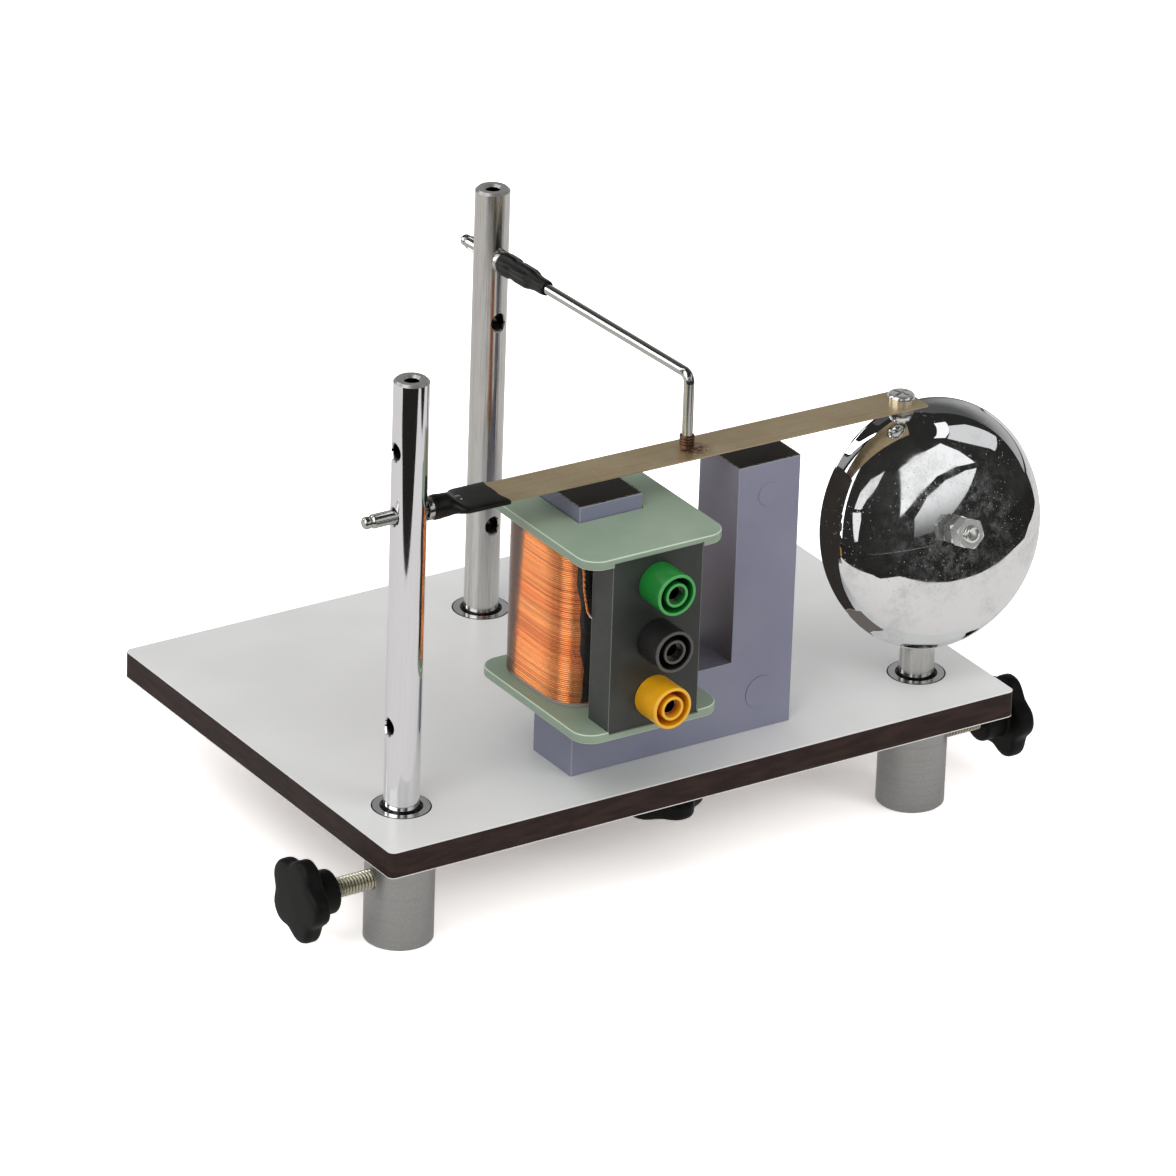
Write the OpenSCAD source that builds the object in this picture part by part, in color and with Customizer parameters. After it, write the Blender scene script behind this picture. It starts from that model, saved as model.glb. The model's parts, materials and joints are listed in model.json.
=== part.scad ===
// Electric bell demonstrator: a board with three clamped rods, an electromagnet, a leaf
// spring with a striker, a contact arm and a gong.
// The origin is under the middle of the whole apparatus, on the table. X runs along the
// board's front edge, Y to the back, Z up.

/* [Board] */
// Thickness of the board's core
board_core_t = 7.4; // [5:0.1:12]
// Thickness of each laminate
laminate_t = 0.3; // [0.2:0.1:1.2]
// Radius of the board's upright corners
board_corner_r = 2; // [1:0.5:10]
// Place of the board's middle to the right of the origin
board_x = -1.2; // [-5:0.1:5]
// Place of the board's cross line, from which the rods are measured, behind the origin
board_y = 4.4; // [0:0.1:10]

/* [Feet] */
// Diameter of a foot
foot_d = 19.6; // [18:0.1:24]
// Height of a foot under the board
foot_h = 32; // [30:1:45]
// Chamfer round the bottom of a foot
foot_chamfer = 0.4; // [0.2:0.1:2]
// Diameter of the neck of a foot, which comes up through the board
neck_d = 16; // [14:0.5:17]
// Height of the bore's floor in a foot
bore_floor = 7.5; // [5:0.5:10]
// Diameter of the bore's chamfered mouth
mouth_d = 12; // [11.5:0.1:13]

/* [Rods] */
// Diameter of the rods
rod_d = 10; // [9:0.1:10.5]
// Length of the left and the rear rod
rod_len = 160; // [150:1:180]
// Distance of the front rods from the board's middle, sideways
rod_side = 85.3; // [83:0.1:88]
// Distance of the front rods from the board's side edges
side_margin = 17.7; // [15:0.1:30]
// Distance of the front rods in front of the board's cross line
rod_front = 48.4; // [46:0.1:52]
// Distance of the front rods from the board's front edge
front_margin = 23.6; // [20:0.1:35]
// Distance of the rear rod behind the board's cross line
rod_back = 47; // [44:0.5:52]
// Distance of the rear rod from the board's rear edge
rear_margin = 25; // [20:0.5:40]
// Height by which the rear rod is drawn up out of its foot
rear_lift = 2.5; // [2:0.1:4]
// Chamfer at the ends of a rod
rod_chamfer = 0.7; // [0.3:0.1:1.5]
// Diameter of the plugs that the rods and sockets take
plug_d = 4; // [3.8:0.05:4.2]
// Diameter of the countersink at a plug hole's mouth
countersink_d = 6; // [5:0.1:7]
// Share of the way down to the leaf's cross hole at which the arm's cross hole lies
arm_hole_share = 0.519; // [0.45:0.001:0.6]
// Height of the lowest cross hole above a rod's lower end
low_hole = 57.5; // [50:0.5:65]
// Share of the way down to the arm's cross hole that the hole in a rod's end takes
end_hole_share = 0.585; // [0.4:0.005:0.65]

/* [Clamps] */
// Height of the clamp screws above the table
clamp_z = 19.7; // [16:0.1:21]
// Diameter of a clamp screw
screw_d = 5.8; // [5:0.1:6.5]
// Distance of a knob's outer face from the rod's axis
knob_reach = 34.5; // [32:0.5:40]
// Diameter over a knob's lobes
knob_d = 25; // [22:0.5:27]
// Height of a knob from its hub's end to its outer face
knob_h = 12.5; // [12:0.5:16]
// Diameter of a knob's hub
hub_d = 12.6; // [11:0.1:14]
// Height of a knob's lobed head
head_h = 5.4; // [5:0.1:7]
// Chamfer at the end of a knob's hub
hub_chamfer = 1; // [0.5:0.1:1.5]
// Rounding of a knob's head
knob_round = 1.5; // [1:0.1:2.5]
// Height of the dome on a knob's outer face
knob_dome = 0.5; // [0.2:0.1:1]
// Radius of the hollows between a knob's lobes
hollow_r = 5.25; // [4:0.05:7]
// Number of lobes of a knob
lobes = 5; // [5:1:7]
// Depth of the hollows between a knob's lobes
lobe_depth = 2.2; // [1:0.1:3]
// Depth of a clamp screw in its knob
screw_grip = 9; // [6:0.5:10]
// Diameter of the washer under the board
washer_d = 16; // [14:0.5:20]
// Thickness of the washer under the board
washer_t = 1.6; // [1:0.1:2]
// Depth of the core screw in the core
core_grip = 12; // [8:0.5:16]

/* [Core] */
// Width of the U-shaped core
core_w = 72.3; // [70:0.1:76]
// Height of the leaf's axis above the poles, at the left rod
pole_gap = 6.4; // [5:0.1:8]
// Depth of the core, front to back
core_d = 19.7; // [19:0.1:21]
// Width of each leg of the core
leg_w = 20.4; // [19.5:0.1:21]
// Height of the core's base
yoke_h = 22.6; // [20:0.1:24]
// Chamfer along the core's upright edges
core_chamfer = 0.6; // [0.2:0.1:1]
// Distance of the core's middle from the board's middle, to the right
core_right = 0.5; // [-1:0.1:1]
// Distance of the core's middle behind the front rods
core_behind = 1.6; // [0:0.1:3]
// Diameter of the rivets near the poles
small_rivet_d = 7; // [5:0.5:8]
// Diameter of the rivets in the core's base
large_rivet_d = 10; // [8:0.5:12]
// Height by which the rivet heads stand proud
rivet_proud = 0.15; // [0.1:0.05:0.3]
// Distance of the small rivets below the poles
small_rivet_drop = 9.7; // [8:0.1:12]

/* [Coil] */
// Width of the coil former's flanges
flange_w = 45.5; // [44:0.5:47]
// Depth of the flanges, front to back
flange_d = 54.8; // [52:0.1:58]
// Thickness of the flanges
flange_t = 2.75; // [2:0.05:3.2]
// Radius of the flanges' corners
flange_corner_r = 6; // [3:0.5:8]
// Distance of the flanges' middle from the leg's middle, to the front
flange_front = 6.8; // [6:0.1:7.5]
// Height by which the pole stands above the top flange
pole_rise = 4.2; // [2:0.1:6]
// Wall of the former's tube
former_wall = 1.4; // [1:0.1:1.8]
// Gap between the leg and the former
leg_gap = 0.4; // [0.2:0.1:0.6]
// Half of the winding's width
winding_half = 18.6; // [18.2:0.1:19]
// Squareness of the winding's outline, where 2 is a circle
squareness = 3.8; // [3:0.1:4.5]
// Least distance between the middles of neighbouring loops
loop_pitch = 1.98; // [1.8:0.01:3]
// Diameter of the wire
wire_d = 1.5; // [1.2:0.05:1.55]
// Bend radius where the wire turns off to the terminal block
lead_r = 4.2; // [3:0.1:5]
// Thickness of the clear film round the winding
film_t = 0.25; // [0.2:0.05:0.4]
// Diameter of the twisted end wire
pigtail_d = 1; // [0.6:0.1:1.4]
// Distance of the end wire's end below the top flange
pigtail_drop = 18.4; // [12:0.1:24]
// Distance of the end wire's top to the left of the terminal block
pigtail_out = 0.6; // [0:0.1:2]
// Distance of the end wire's top behind the terminal block
pigtail_back = 3; // [2:0.1:4]
// Distance of the end wire's end from the terminal block's left side
pigtail_in = 1.2; // [0.8:0.1:3]

/* [Terminal block] */
// Width of the terminal block
block_w = 28.8; // [26:0.1:31]
// Depth of the terminal block
block_d = 10; // [9:0.1:10.5]
// Distance of the block's front face behind the flanges' front edge
block_set = 0.5; // [0.2:0.1:1]
// Height by which the block reaches into a rebate of each flange
block_bite = 1; // [0.5:0.1:1.6]
// Gap between the block's top and its rebate
block_gap = 0.3; // [0.1:0.05:0.4]
// Distance between the sockets, as a share of the distance between the flanges
socket_share = 0.345; // [0.3:0.005:0.36]
// Distance of the sockets to the right of the block's middle
socket_right = 0; // [-2:0.1:2]
// Outer diameter of a socket
socket_d = 12.2; // [11.5:0.1:13]
// Length of a socket in front of the block
socket_len = 9.8; // [8:0.1:12]
// Outer diameter of the groove in a socket's face
groove_d = 10.2; // [9.5:0.1:10.6]
// Outer diameter of a socket's inner ring
inner_ring_d = 7; // [6.4:0.1:7.6]
// Depth of the groove in a socket
groove_depth = 8; // [5:0.5:8.5]
// Diameter of a socket's stem in the block
stem_d = 9; // [8:0.1:10]
// Wall of the metal contact sleeves
sleeve_wall = 0.6; // [0.4:0.05:0.8]
// Distance of a contact sleeve behind the socket's face
sleeve_recess = 2.5; // [1:0.1:4]
// Rounding of a socket's outer rim
socket_rim_r = 0.6; // [0.2:0.1:0.9]

/* [Plugs] */
// Length of a plug's tip up to the end of its bead
bead_len = 1.9; // [1:0.1:2.5]
// Length of each cone beside a plug's waist
waist_cone = 0.35; // [0.2:0.05:1]
// Length of a plug's waist
waist_len = 0.3; // [0.2:0.1:1]
// Diameter of a plug's waist
waist_d = 2.8; // [2:0.1:3.2]
// Height of the rim between a plug's pin and its sleeve
rim_t = 1.8; // [1:0.1:2.5]
// Distance of the rim's edge inside the sleeve's surface
rim_inset = 0.2; // [0.1:0.05:0.5]
// Diameter of the shank that the sleeve holds
shank_d = 3.2; // [2.6:0.1:3.6]
// Length of the leaf's plug beyond the left rod's axis
leaf_plug_tip = 14.4; // [12:0.1:17]
// Length of the arm's plug behind the rear rod's axis
arm_plug_tip = 13.5; // [11:0.5:16]
// Diameter of the round part of the sleeves
shrink_d = 7; // [6.4:0.1:8]
// Rounding of the sleeves' ends
sleeve_lip = 0.4; // [0.2:0.1:0.8]

/* [Leaf spring] */
// Width of the leaf spring
leaf_w = 13; // [12:0.1:14]
// Thickness of the leaf spring
leaf_t = 0.5; // [0.4:0.05:0.6]
// Height of the leaf's axis above the gong's rim, at the left rod
leaf_over_gong = 7.25; // [7:0.05:9]
// Distance of the striker to the left of the gong's middle
striker_left = 11.5; // [10:0.1:13]
// Length of the leaf beyond the striker
leaf_over = 4.9; // [4:0.1:7]
// Distance of the leaf's root from the left rod's axis
leaf_root = 16.5; // [16:0.5:18]
// Slope of the leaf down to the right, in degrees
leaf_droop = 0.68; // [0.6:0.01:0.75]
// Length of the round part of the leaf's sleeve
sleeve_round = 5.4; // [5:0.1:8]
// Length over which the sleeve goes from round to flat
sleeve_taper = 2.8; // [2:0.1:5]
// Distance of the sleeve's mouth from the left rod's axis
sleeve_mouth = 28.3; // [27:0.1:32]
// Width of the sleeve's flat part
sleeve_flat_w = 14.5; // [14.4:0.1:16]
// Thickness of the sleeve's flat part
sleeve_flat_t = 2.2; // [1.8:0.1:3]

/* [Striker] */
// Diameter of the striker's screw head
striker_head_d = 7.8; // [7:0.1:9]
// Height of the striker's screw head
striker_head_h = 2.3; // [1.8:0.1:3]
// Rounding of the screw head's edge
striker_round = 1.2; // [0.6:0.1:1.6]
// Width of the cross slot in the screw head
cross_slot_w = 0.9; // [0.6:0.1:1.2]
// Turn of the cross slot from the leaf's direction, in degrees
cross_slot_turn = 20; // [0:1:45]
// Diameter of the striker's screw
striker_screw_d = 4; // [3:0.1:4.2]
// Width across the flats of the striker's nut
striker_nut_af = 7; // [6.5:0.1:7.5]
// Height of the nut's six-sided part
striker_nut_h = 3.2; // [2.5:0.1:3.4]
// Height of the nut's dome
striker_dome_h = 3.2; // [2.5:0.1:3.3]
// Height of the dome's upright foot
dome_foot = 0.6; // [0.3:0.1:1]
// Distance of the dome inside the nut's flats
dome_inset = 0.28; // [0.1:0.01:0.5]
// Length of the striker's screw below the leaf
striker_reach = 4.5; // [3.8:0.1:5.5]

/* [Contact arm] */
// Distance of the contact to the right of the rear rod's axis
contact_right = 4.05; // [2:0.05:6]
// Distance of the round sleeve's end from the rod's axis
arm_sleeve_end = 22.5; // [20:0.5:30]
// Length of the sleeve's stout root
arm_sleeve_root = 5.5; // [4:0.5:7]
// Length of each slope of the sleeve's crimp
crimp_len = 1.5; // [1:0.1:2]
// Depth of the sleeve's crimp
crimp_depth = 0.5; // [0.2:0.05:0.8]
// Length of the sleeve's slope down to its neck
arm_slope_len = 2.5; // [1.5:0.1:4]
// Length of the sleeve's narrow neck
arm_neck_len = 5.2; // [4:0.1:9]
// Wall of the sleeve's narrow neck
arm_neck_wall = 0.9; // [0.6:0.1:1.2]
// Distance from the plug's end to the wire's end, inside the sleeve
arm_inner_gap = 1; // [0.5:0.1:2]
// Depth of the wire's end in the round sleeve
arm_wire_grip = 5; // [3:0.5:8]
// Diameter of the arm's wire
arm_wire_d = 3; // [2.5:0.1:3.3]
// Bend radius of the arm's wire
arm_bend_r = 2.5; // [2:0.1:5]
// Diameter of the contact tip
tip_d = 4.2; // [4:0.1:5]
// Height of the contact tip
tip_h = 4.3; // [4:0.1:6]
// Number of ribs round the contact tip
tip_ribs = 4; // [3:1:5]
// Depth of the grooves between the ribs
tip_rib_depth = 0.3; // [0.2:0.05:0.4]
// Height of the tip's domed nose
tip_nose = 1; // [0.6:0.1:1.2]
// Wall under the end of the wire
tip_wall = 0.8; // [0.5:0.1:1]

/* [Gong] */
// Radius of the gong's rim
gong_r = 35.7; // [34:0.1:35.8]
// Depth of the gong
gong_depth = 14.7; // [13:0.1:16]
// Length of the gong's tapering skirt
skirt_len = 7.3; // [6:0.1:8]
// Radius of the gong where the skirt meets the crown
crown_edge_r = 32.6; // [31:0.1:33]
// Share of the skirt below the soft round between skirt and crown
round_start = 0.35; // [0.2:0.05:0.7]
// Share of the crown's radius inside the soft round
round_end = 0.8; // [0.7:0.01:0.9]
// Wall of the gong
gong_wall = 1.5; // [1:0.1:2]
// Height of the gong's rim above the board
gong_clear = 11.85; // [10:0.05:15]
// Height of the gong rod's top above the gong's middle
gong_rod_over = 7.7; // [6:0.1:12]
// Distance of the gong's middle to the right of its rod's axis
gong_right = 1.5; // [0.5:0.1:1.6]
// Distance of the gong's middle in front of its rod's axis
gong_forward = 0.6; // [0:0.1:1.5]
// Angle by which the gong's face looks up, in degrees
gong_tilt = 15.2; // [14:0.1:16]
// Angle by which the gong's face looks left of straight forward, in degrees
gong_yaw = 3.8; // [2:0.1:5]
// Diameter of the gong's stud
stud_d = 4.9; // [4:0.1:5]
// Length of the stud in front of the rim's plane
stud_front = 24.2; // [23.5:0.1:26]
// Length of the stud behind the rim's plane
stud_back = 6; // [5.5:0.1:8]
// Width across the flats of the gong's nuts
nut_af = 8; // [7.5:0.1:9]
// Height of each of the gong's nuts
nut_h = 4; // [3:0.1:4]
// Turn of the lock nut against the outer nut, in degrees
lock_nut_turn = 12; // [0:1:30]

/* [Fits] */
// Clearance round a rod in its foot, a screw in its thread and a plug in its hole
running_gap = 0.05; // [0.02:0.01:0.09]
// Gap between a foot's neck and the board
neck_gap = 0.2; // [0.1:0.05:0.4]
// Clearance where two pieces nearly touch
touch_gap = 0.05; // [0.03:0.01:0.1]
// Clearance round the leaf in its sleeve
leaf_gap = 0.2; // [0.15:0.01:0.3]

/* [Hidden] */
$fn = 48;
over = 1;

// Heights
board_top = foot_h + board_core_t + 2 * laminate_t;
gong_rise = gong_r * cos(gong_tilt);
gong_z = board_top + gong_clear + gong_rise;
gong_rod_len = gong_z + gong_rod_over - bore_floor;
leaf_z = gong_z + gong_rise + leaf_over_gong;
leaf_hole = leaf_z - bore_floor;
arm_hole = rod_len - (rod_len - leaf_hole) * arm_hole_share;
arm_z = bore_floor + rear_lift + arm_hole;
end_hole_depth = (rod_len - arm_hole) * end_hole_share;
core_h = leaf_z - pole_gap - board_top;
coil_h = core_h - yoke_h - 2 * flange_t - pole_rise;
coil_floor = board_top + yoke_h + flange_t;
coil_roof = coil_floor + coil_h;

// Places in plan
board_w = 2 * (rod_side + side_margin);
board_front = board_y - rod_front - front_margin;
board_d = board_y + rod_back + rear_margin - board_front;
board_mid = [board_x, board_front + board_d / 2];
left_rod = [board_x - rod_side, board_y - rod_front];
gong_rod = [board_x + rod_side, board_y - rod_front];
rear_rod = [board_x, board_y + rod_back];
core_mid = [board_x + core_right, left_rod[1] + core_behind];
coil_mid = [core_mid[0] - (core_w - leg_w) / 2, core_mid[1]];
flange_mid = coil_mid - [0, flange_front];
block_face_y = flange_mid[1] - flange_d / 2 + block_set;
block_back_y = block_face_y + block_d;

// Plug holes and screw holes
plug_hole_d = plug_d + 2 * running_gap;
thread_d = screw_d + 2 * running_gap;

// The leaf and the striker, from the left rod's axis
striker_out = gong_rod[0] + gong_right - striker_left - left_rod[0];
leaf_end = striker_out + leaf_over;

// Points of an arc about a middle point, from one angle to another
function arc(mid, r, from, to, steps) =
    [for (i = [0 : steps]) mid + r * [cos(from + (to - from) * i / steps),
                                      sin(from + (to - from) * i / steps)]];

// Outline of a box with round corners, about the origin
function round_box(w, d, r) =
    concat(arc([w / 2 - r, d / 2 - r], r, 0, 90, 6),
           arc([r - w / 2, d / 2 - r], r, 90, 180, 6),
           arc([r - w / 2, r - d / 2], r, 180, 270, 6),
           arc([w / 2 - r, r - d / 2], r, 270, 360, 6));

// A point of the winding's outline: a circle drawn out towards a square
function bulged(half, a) =
    half * [cos(a), sin(a)]
    / pow(pow(abs(cos(a)), squareness) + pow(abs(sin(a)), squareness), 1 / squareness);

function bulged_outline(half, steps) =
    [for (i = [0 : steps - 1]) bulged(half, 360 * i / steps)];

// A six-sided or round tube along a path of points
function unit(v) = v / norm(v);

function side_of(t) = unit(cross(t, abs(t[2]) < 0.9 ? [0, 0, 1] : [1, 0, 0]));

function tube_points(path, r, sides) =
    [for (i = [0 : len(path) - 1])
        let (t = unit(path[min(i + 1, len(path) - 1)] - path[max(i - 1, 0)]),
             u = side_of(t),
             v = cross(u, t))
        for (k = [0 : sides - 1])
            path[i] + r * (u * cos(360 * k / sides) + v * sin(360 * k / sides))];

// Triangles of a skin over rings that hold the same number of points
function skin_faces(rings, sides) =
    concat([for (k = [1 : sides - 2]) [0, k + 1, k]],
           [for (i = [0 : rings - 2], k = [0 : sides - 1])
                [i * sides + k, i * sides + (k + 1) % sides, (i + 1) * sides + k]],
           [for (i = [0 : rings - 2], k = [0 : sides - 1])
                [i * sides + (k + 1) % sides, (i + 1) * sides + (k + 1) % sides,
                 (i + 1) * sides + k]],
           [for (k = [1 : sides - 2])
                [(rings - 1) * sides, (rings - 1) * sides + k, (rings - 1) * sides + k + 1]]);

module tube(path, d, sides) {
    polyhedron(tube_points(path, d / 2, sides), skin_faces(len(path), sides));
}

// One layer of the board, with the holes for the necks of the feet and the core screw
module board_layer(z, t) {
    translate([board_mid[0], board_mid[1], z])
        difference() {
            linear_extrude(t) polygon(round_box(board_w, board_d, board_corner_r));
            for (at = [left_rod, gong_rod, rear_rod])
                translate([at[0] - board_mid[0], at[1] - board_mid[1], -over])
                    cylinder(d = neck_d + 2 * neck_gap, h = t + 2 * over);
            translate([core_mid[0] - board_mid[0], core_mid[1] - board_mid[1], -over])
                cylinder(d = screw_d + 2 * neck_gap, h = t + 2 * over);
        }
}

module base_board() {
    color("#2d2120") board_layer(foot_h + laminate_t, board_core_t);
}

module top_laminate() {
    color("#dcdcdc") board_layer(board_top - laminate_t, laminate_t);
}

module bottom_laminate() {
    color("#dcdcdc") board_layer(foot_h, laminate_t);
}

// A foot, with its clamp screw's thread to one side
module foot(at, side) {
    r = foot_d / 2;
    neck_r = neck_d / 2;
    bore_r = rod_d / 2 + running_gap;
    color("#a9a9a6")
        translate([at[0], at[1], 0])
            difference() {
                rotate_extrude()
                    polygon([[0, 0], [r - foot_chamfer, 0], [r, foot_chamfer], [r, foot_h],
                             [neck_r, foot_h], [neck_r, board_top], [0, board_top]]);
                translate([0, 0, bore_floor])
                    cylinder(r = bore_r, h = board_top);
                translate([0, 0, board_top - (mouth_d / 2 - bore_r)])
                    cylinder(r1 = bore_r, r2 = mouth_d / 2 + over, h = mouth_d / 2 - bore_r + over);
                rotate([0, 0, side])
                    translate([0, 0, clamp_z])
                        rotate([0, 90, 0])
                            cylinder(d = thread_d, h = foot_d);
            }
}

module foot_left() {
    foot(left_rod, 180);
}

module foot_right() {
    foot(gong_rod, 0);
}

module foot_rear() {
    foot(rear_rod, 90);
}

// A plain rod with chamfered ends
module rod_blank(length) {
    r = rod_d / 2;
    rotate_extrude()
        polygon([[0, 0], [r - rod_chamfer, 0], [r, rod_chamfer], [r, length - rod_chamfer],
                 [r - rod_chamfer, length], [0, length]]);
}

// A countersunk hole across a rod, along X
module cross_hole() {
    mouth = (countersink_d - plug_hole_d) / 2;
    rotate([0, 90, 0])
        cylinder(d = plug_hole_d, h = rod_d + 2 * over, center = true);
    for (turn = [0, 180])
        rotate([0, 90, turn])
            translate([0, 0, rod_d / 2 - mouth])
                cylinder(d1 = plug_hole_d, d2 = plug_hole_d + 2 * (mouth + over), h = mouth + over);
}

// A rod that takes plugs in its cross holes and in its end
module socket_rod() {
    difference() {
        rod_blank(rod_len);
        for (z = [low_hole, leaf_hole, arm_hole])
            translate([0, 0, z]) cross_hole();
        translate([0, 0, rod_len - end_hole_depth])
            cylinder(d = plug_hole_d, h = end_hole_depth + over);
        translate([0, 0, rod_len - rod_chamfer])
            cylinder(d1 = plug_hole_d, d2 = plug_hole_d + 2 * (rod_chamfer + over),
                     h = rod_chamfer + over);
    }
}

module rod_left() {
    color("#c9c9cc")
        translate([left_rod[0], left_rod[1], bore_floor]) socket_rod();
}

module rod_rear() {
    color("#c9c9cc")
        translate([rear_rod[0], rear_rod[1], bore_floor + rear_lift])
            rotate([0, 0, arm_turn]) socket_rod();
}

// Frame of the gong: Z along its stud, the rim's plane at zero
module in_gong() {
    translate([gong_rod[0] + gong_right, gong_rod[1] - gong_forward, gong_z])
        rotate([0, 90 - gong_tilt, -90 - gong_yaw]) children();
}

module rod_gong() {
    color("#c9c9cc")
        difference() {
            translate([gong_rod[0], gong_rod[1], bore_floor]) rod_blank(gong_rod_len);
            in_gong()
                cylinder(d = stud_d + 2 * running_gap, h = 3 * rod_d, center = true);
        }
}

// A clamp screw along X, from the rod's flank into its knob
screw_start = rod_d / 2 + running_gap + touch_gap;
screw_end = knob_reach - knob_h + screw_grip;

module clamp_screw(at, side) {
    tip = screw_d / 8;
    color("#b9b49a")
        translate([at[0], at[1], clamp_z])
            rotate([0, 0, side])
                rotate([0, 90, 0])
                    translate([0, 0, screw_start])
                        rotate_extrude()
                            polygon([[0, 0], [screw_d / 2 - tip, 0], [screw_d / 2, tip],
                                     [screw_d / 2, screw_end - screw_start],
                                     [0, screw_end - screw_start]]);
}

module clamp_screw_left() {
    clamp_screw(left_rod, 180);
}

module clamp_screw_right() {
    clamp_screw(gong_rod, 0);
}

module clamp_screw_rear() {
    clamp_screw(rear_rod, 90);
}

// Points of a soft round between two points, drawn in towards a corner
function soft(from, corner, to, steps) =
    [for (i = [0 : steps])
        let (t = i / steps)
            from * pow(1 - t, 2) + corner * 2 * t * (1 - t) + to * pow(t, 2)];

// A star knob along Z, from its hub's end at zero to its domed outer face
module star_knob() {
    r = knob_d / 2;
    hub_r = hub_d / 2;
    head_z = knob_h - head_h;
    rim_z = knob_h - knob_dome;
    color("#1d1d1f")
        difference() {
            rotate_extrude()
                polygon(concat([[0, 0], [hub_r - hub_chamfer, 0], [hub_r, hub_chamfer],
                                [hub_r, head_z]],
                               soft([r - knob_round, head_z], [r, head_z],
                                    [r, head_z + knob_round], 5),
                               soft([r, rim_z - knob_round], [r, rim_z], [r - knob_round, rim_z], 5),
                               [[0, knob_h]]));
            for (i = [0 : lobes - 1])
                rotate([0, 0, (i + 0.5) * 360 / lobes])
                    translate([r - lobe_depth + hollow_r, 0, head_z - over])
                        cylinder(r = hollow_r, h = head_h + 2 * over);
            translate([0, 0, -over])
                cylinder(d = thread_d, h = screw_grip + touch_gap + over);
        }
}

module side_knob(at, side) {
    translate([at[0], at[1], clamp_z])
        rotate([0, 0, side])
            rotate([0, 90, 0])
                translate([0, 0, knob_reach - knob_h]) star_knob();
}

module knob_left() {
    side_knob(left_rod, 180);
}

module knob_right() {
    side_knob(gong_rod, 0);
}

module knob_rear() {
    side_knob(rear_rod, 90);
}

// The screw that holds the core, its knob and its washer
core_knob_top = foot_h - washer_t - touch_gap;

module core_screw() {
    color("#b9b49a")
        translate([core_mid[0], core_mid[1], core_knob_top - screw_grip])
            cylinder(d = screw_d, h = board_top + core_grip - core_knob_top + screw_grip);
}

module knob_core() {
    translate([core_mid[0], core_mid[1], core_knob_top])
        rotate([180, 0, 0]) star_knob();
}

module core_washer() {
    color("#b9b9b4")
        translate([core_mid[0], core_mid[1], foot_h - washer_t])
            difference() {
                cylinder(d = washer_d, h = washer_t);
                translate([0, 0, -over])
                    cylinder(d = screw_d + 2 * neck_gap, h = washer_t + 2 * over);
            }
}

// Plan of one upright block of the core, with chamfered edges
module core_plan(w) {
    x = w / 2;
    y = core_d / 2;
    c = core_chamfer;
    polygon([[x - c, -y], [x, c - y], [x, y - c], [x - c, y], [c - x, y], [-x, y - c],
             [-x, c - y], [c - x, -y]]);
}

module u_core() {
    color("#80809a")
        translate([core_mid[0], core_mid[1], board_top])
            difference() {
                linear_extrude(core_h) core_plan(core_w);
                translate([leg_w - core_w / 2, -core_d, yoke_h])
                    cube([core_w - 2 * leg_w, 2 * core_d, core_h]);
                translate([0, 0, -over])
                    cylinder(d = thread_d, h = core_grip + 2 * over);
            }
}

// Flush rivet heads on the core's front and back
module core_rivets() {
    leg_x = (core_w - leg_w) / 2;
    color("#7a7a94")
        translate([core_mid[0], core_mid[1], board_top])
            for (face = [0, 180])
                rotate([90, 0, face])
                    translate([0, 0, core_d / 2]) {
                        translate([face == 0 ? leg_x : -leg_x, core_h - small_rivet_drop, 0])
                            cylinder(d = small_rivet_d, h = rivet_proud);
                        for (x = [-leg_x, leg_x])
                            translate([x, yoke_h / 2, 0])
                                cylinder(d = large_rivet_d, h = rivet_proud);
                    }
}

// The coil former: two flanges on a square tube round the core's left leg. A rebate at the
// front of each flange holds the terminal block.
module flange() {
    translate([flange_mid[0], flange_mid[1], 0])
        linear_extrude(flange_t) polygon(round_box(flange_w, flange_d, flange_corner_r));
}

module coil_former() {
    hole = [leg_w, core_d] + 2 * leg_gap * [1, 1];
    outside = hole + 2 * former_wall * [1, 1];
    color("#7d9178")
        difference() {
            union() {
                translate([0, 0, coil_floor - flange_t]) flange();
                translate([0, 0, coil_roof]) flange();
                translate([coil_mid[0] - outside[0] / 2, coil_mid[1] - outside[1] / 2,
                           coil_floor - flange_t / 2])
                    cube([outside[0], outside[1], coil_h + flange_t]);
            }
            translate([coil_mid[0] - hole[0] / 2, coil_mid[1] - hole[1] / 2, board_top])
                cube([hole[0], hole[1], core_h + flange_t]);
            translate([flange_mid[0] - block_w / 2, flange_mid[1] - flange_d / 2 - over,
                       coil_floor - block_bite])
                cube([block_w, block_set + block_d + over, coil_h + 2 * block_bite + block_gap]);
        }
}

// Inner turns of the winding, which the outer layer hides
core_half = winding_half - wire_d - touch_gap;
rings_a_loop = 24;

module winding_core() {
    former = [leg_w, core_d] + 2 * (leg_gap + former_wall) * [1, 1];
    color("#b06a30")
        translate([coil_mid[0], coil_mid[1], coil_floor])
            linear_extrude(coil_h)
                difference() {
                    polygon(bulged_outline(core_half, rings_a_loop));
                    square(former, center = true);
                }
}

// Outer layer of the winding: one wire from the terminal block, round the coil and back
wire_half = winding_half - wire_d / 2;
wire_low = coil_floor + wire_d / 2 + touch_gap;
wire_rise = coil_h - wire_d - 2 * touch_gap;
loops = floor(wire_rise / loop_pitch);
lead_steps = 6;
lead_in = coil_mid[1] - wire_half - lead_r;

function lead(side, z) =
    [for (i = [0 : lead_steps - 1])
        let (a = 90 * i / lead_steps)
            [coil_mid[0] + side * lead_r * cos(a), lead_in + lead_r * sin(a), z]];

function turn_point(i) =
    let (p = bulged(wire_half, -90 + 360 * i / rings_a_loop))
        [coil_mid[0] + p[0], coil_mid[1] + p[1], wire_low + wire_rise * i / (loops * rings_a_loop)];

function reversed(list) = [for (i = [len(list) - 1 : -1 : 0]) list[i]];

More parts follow.
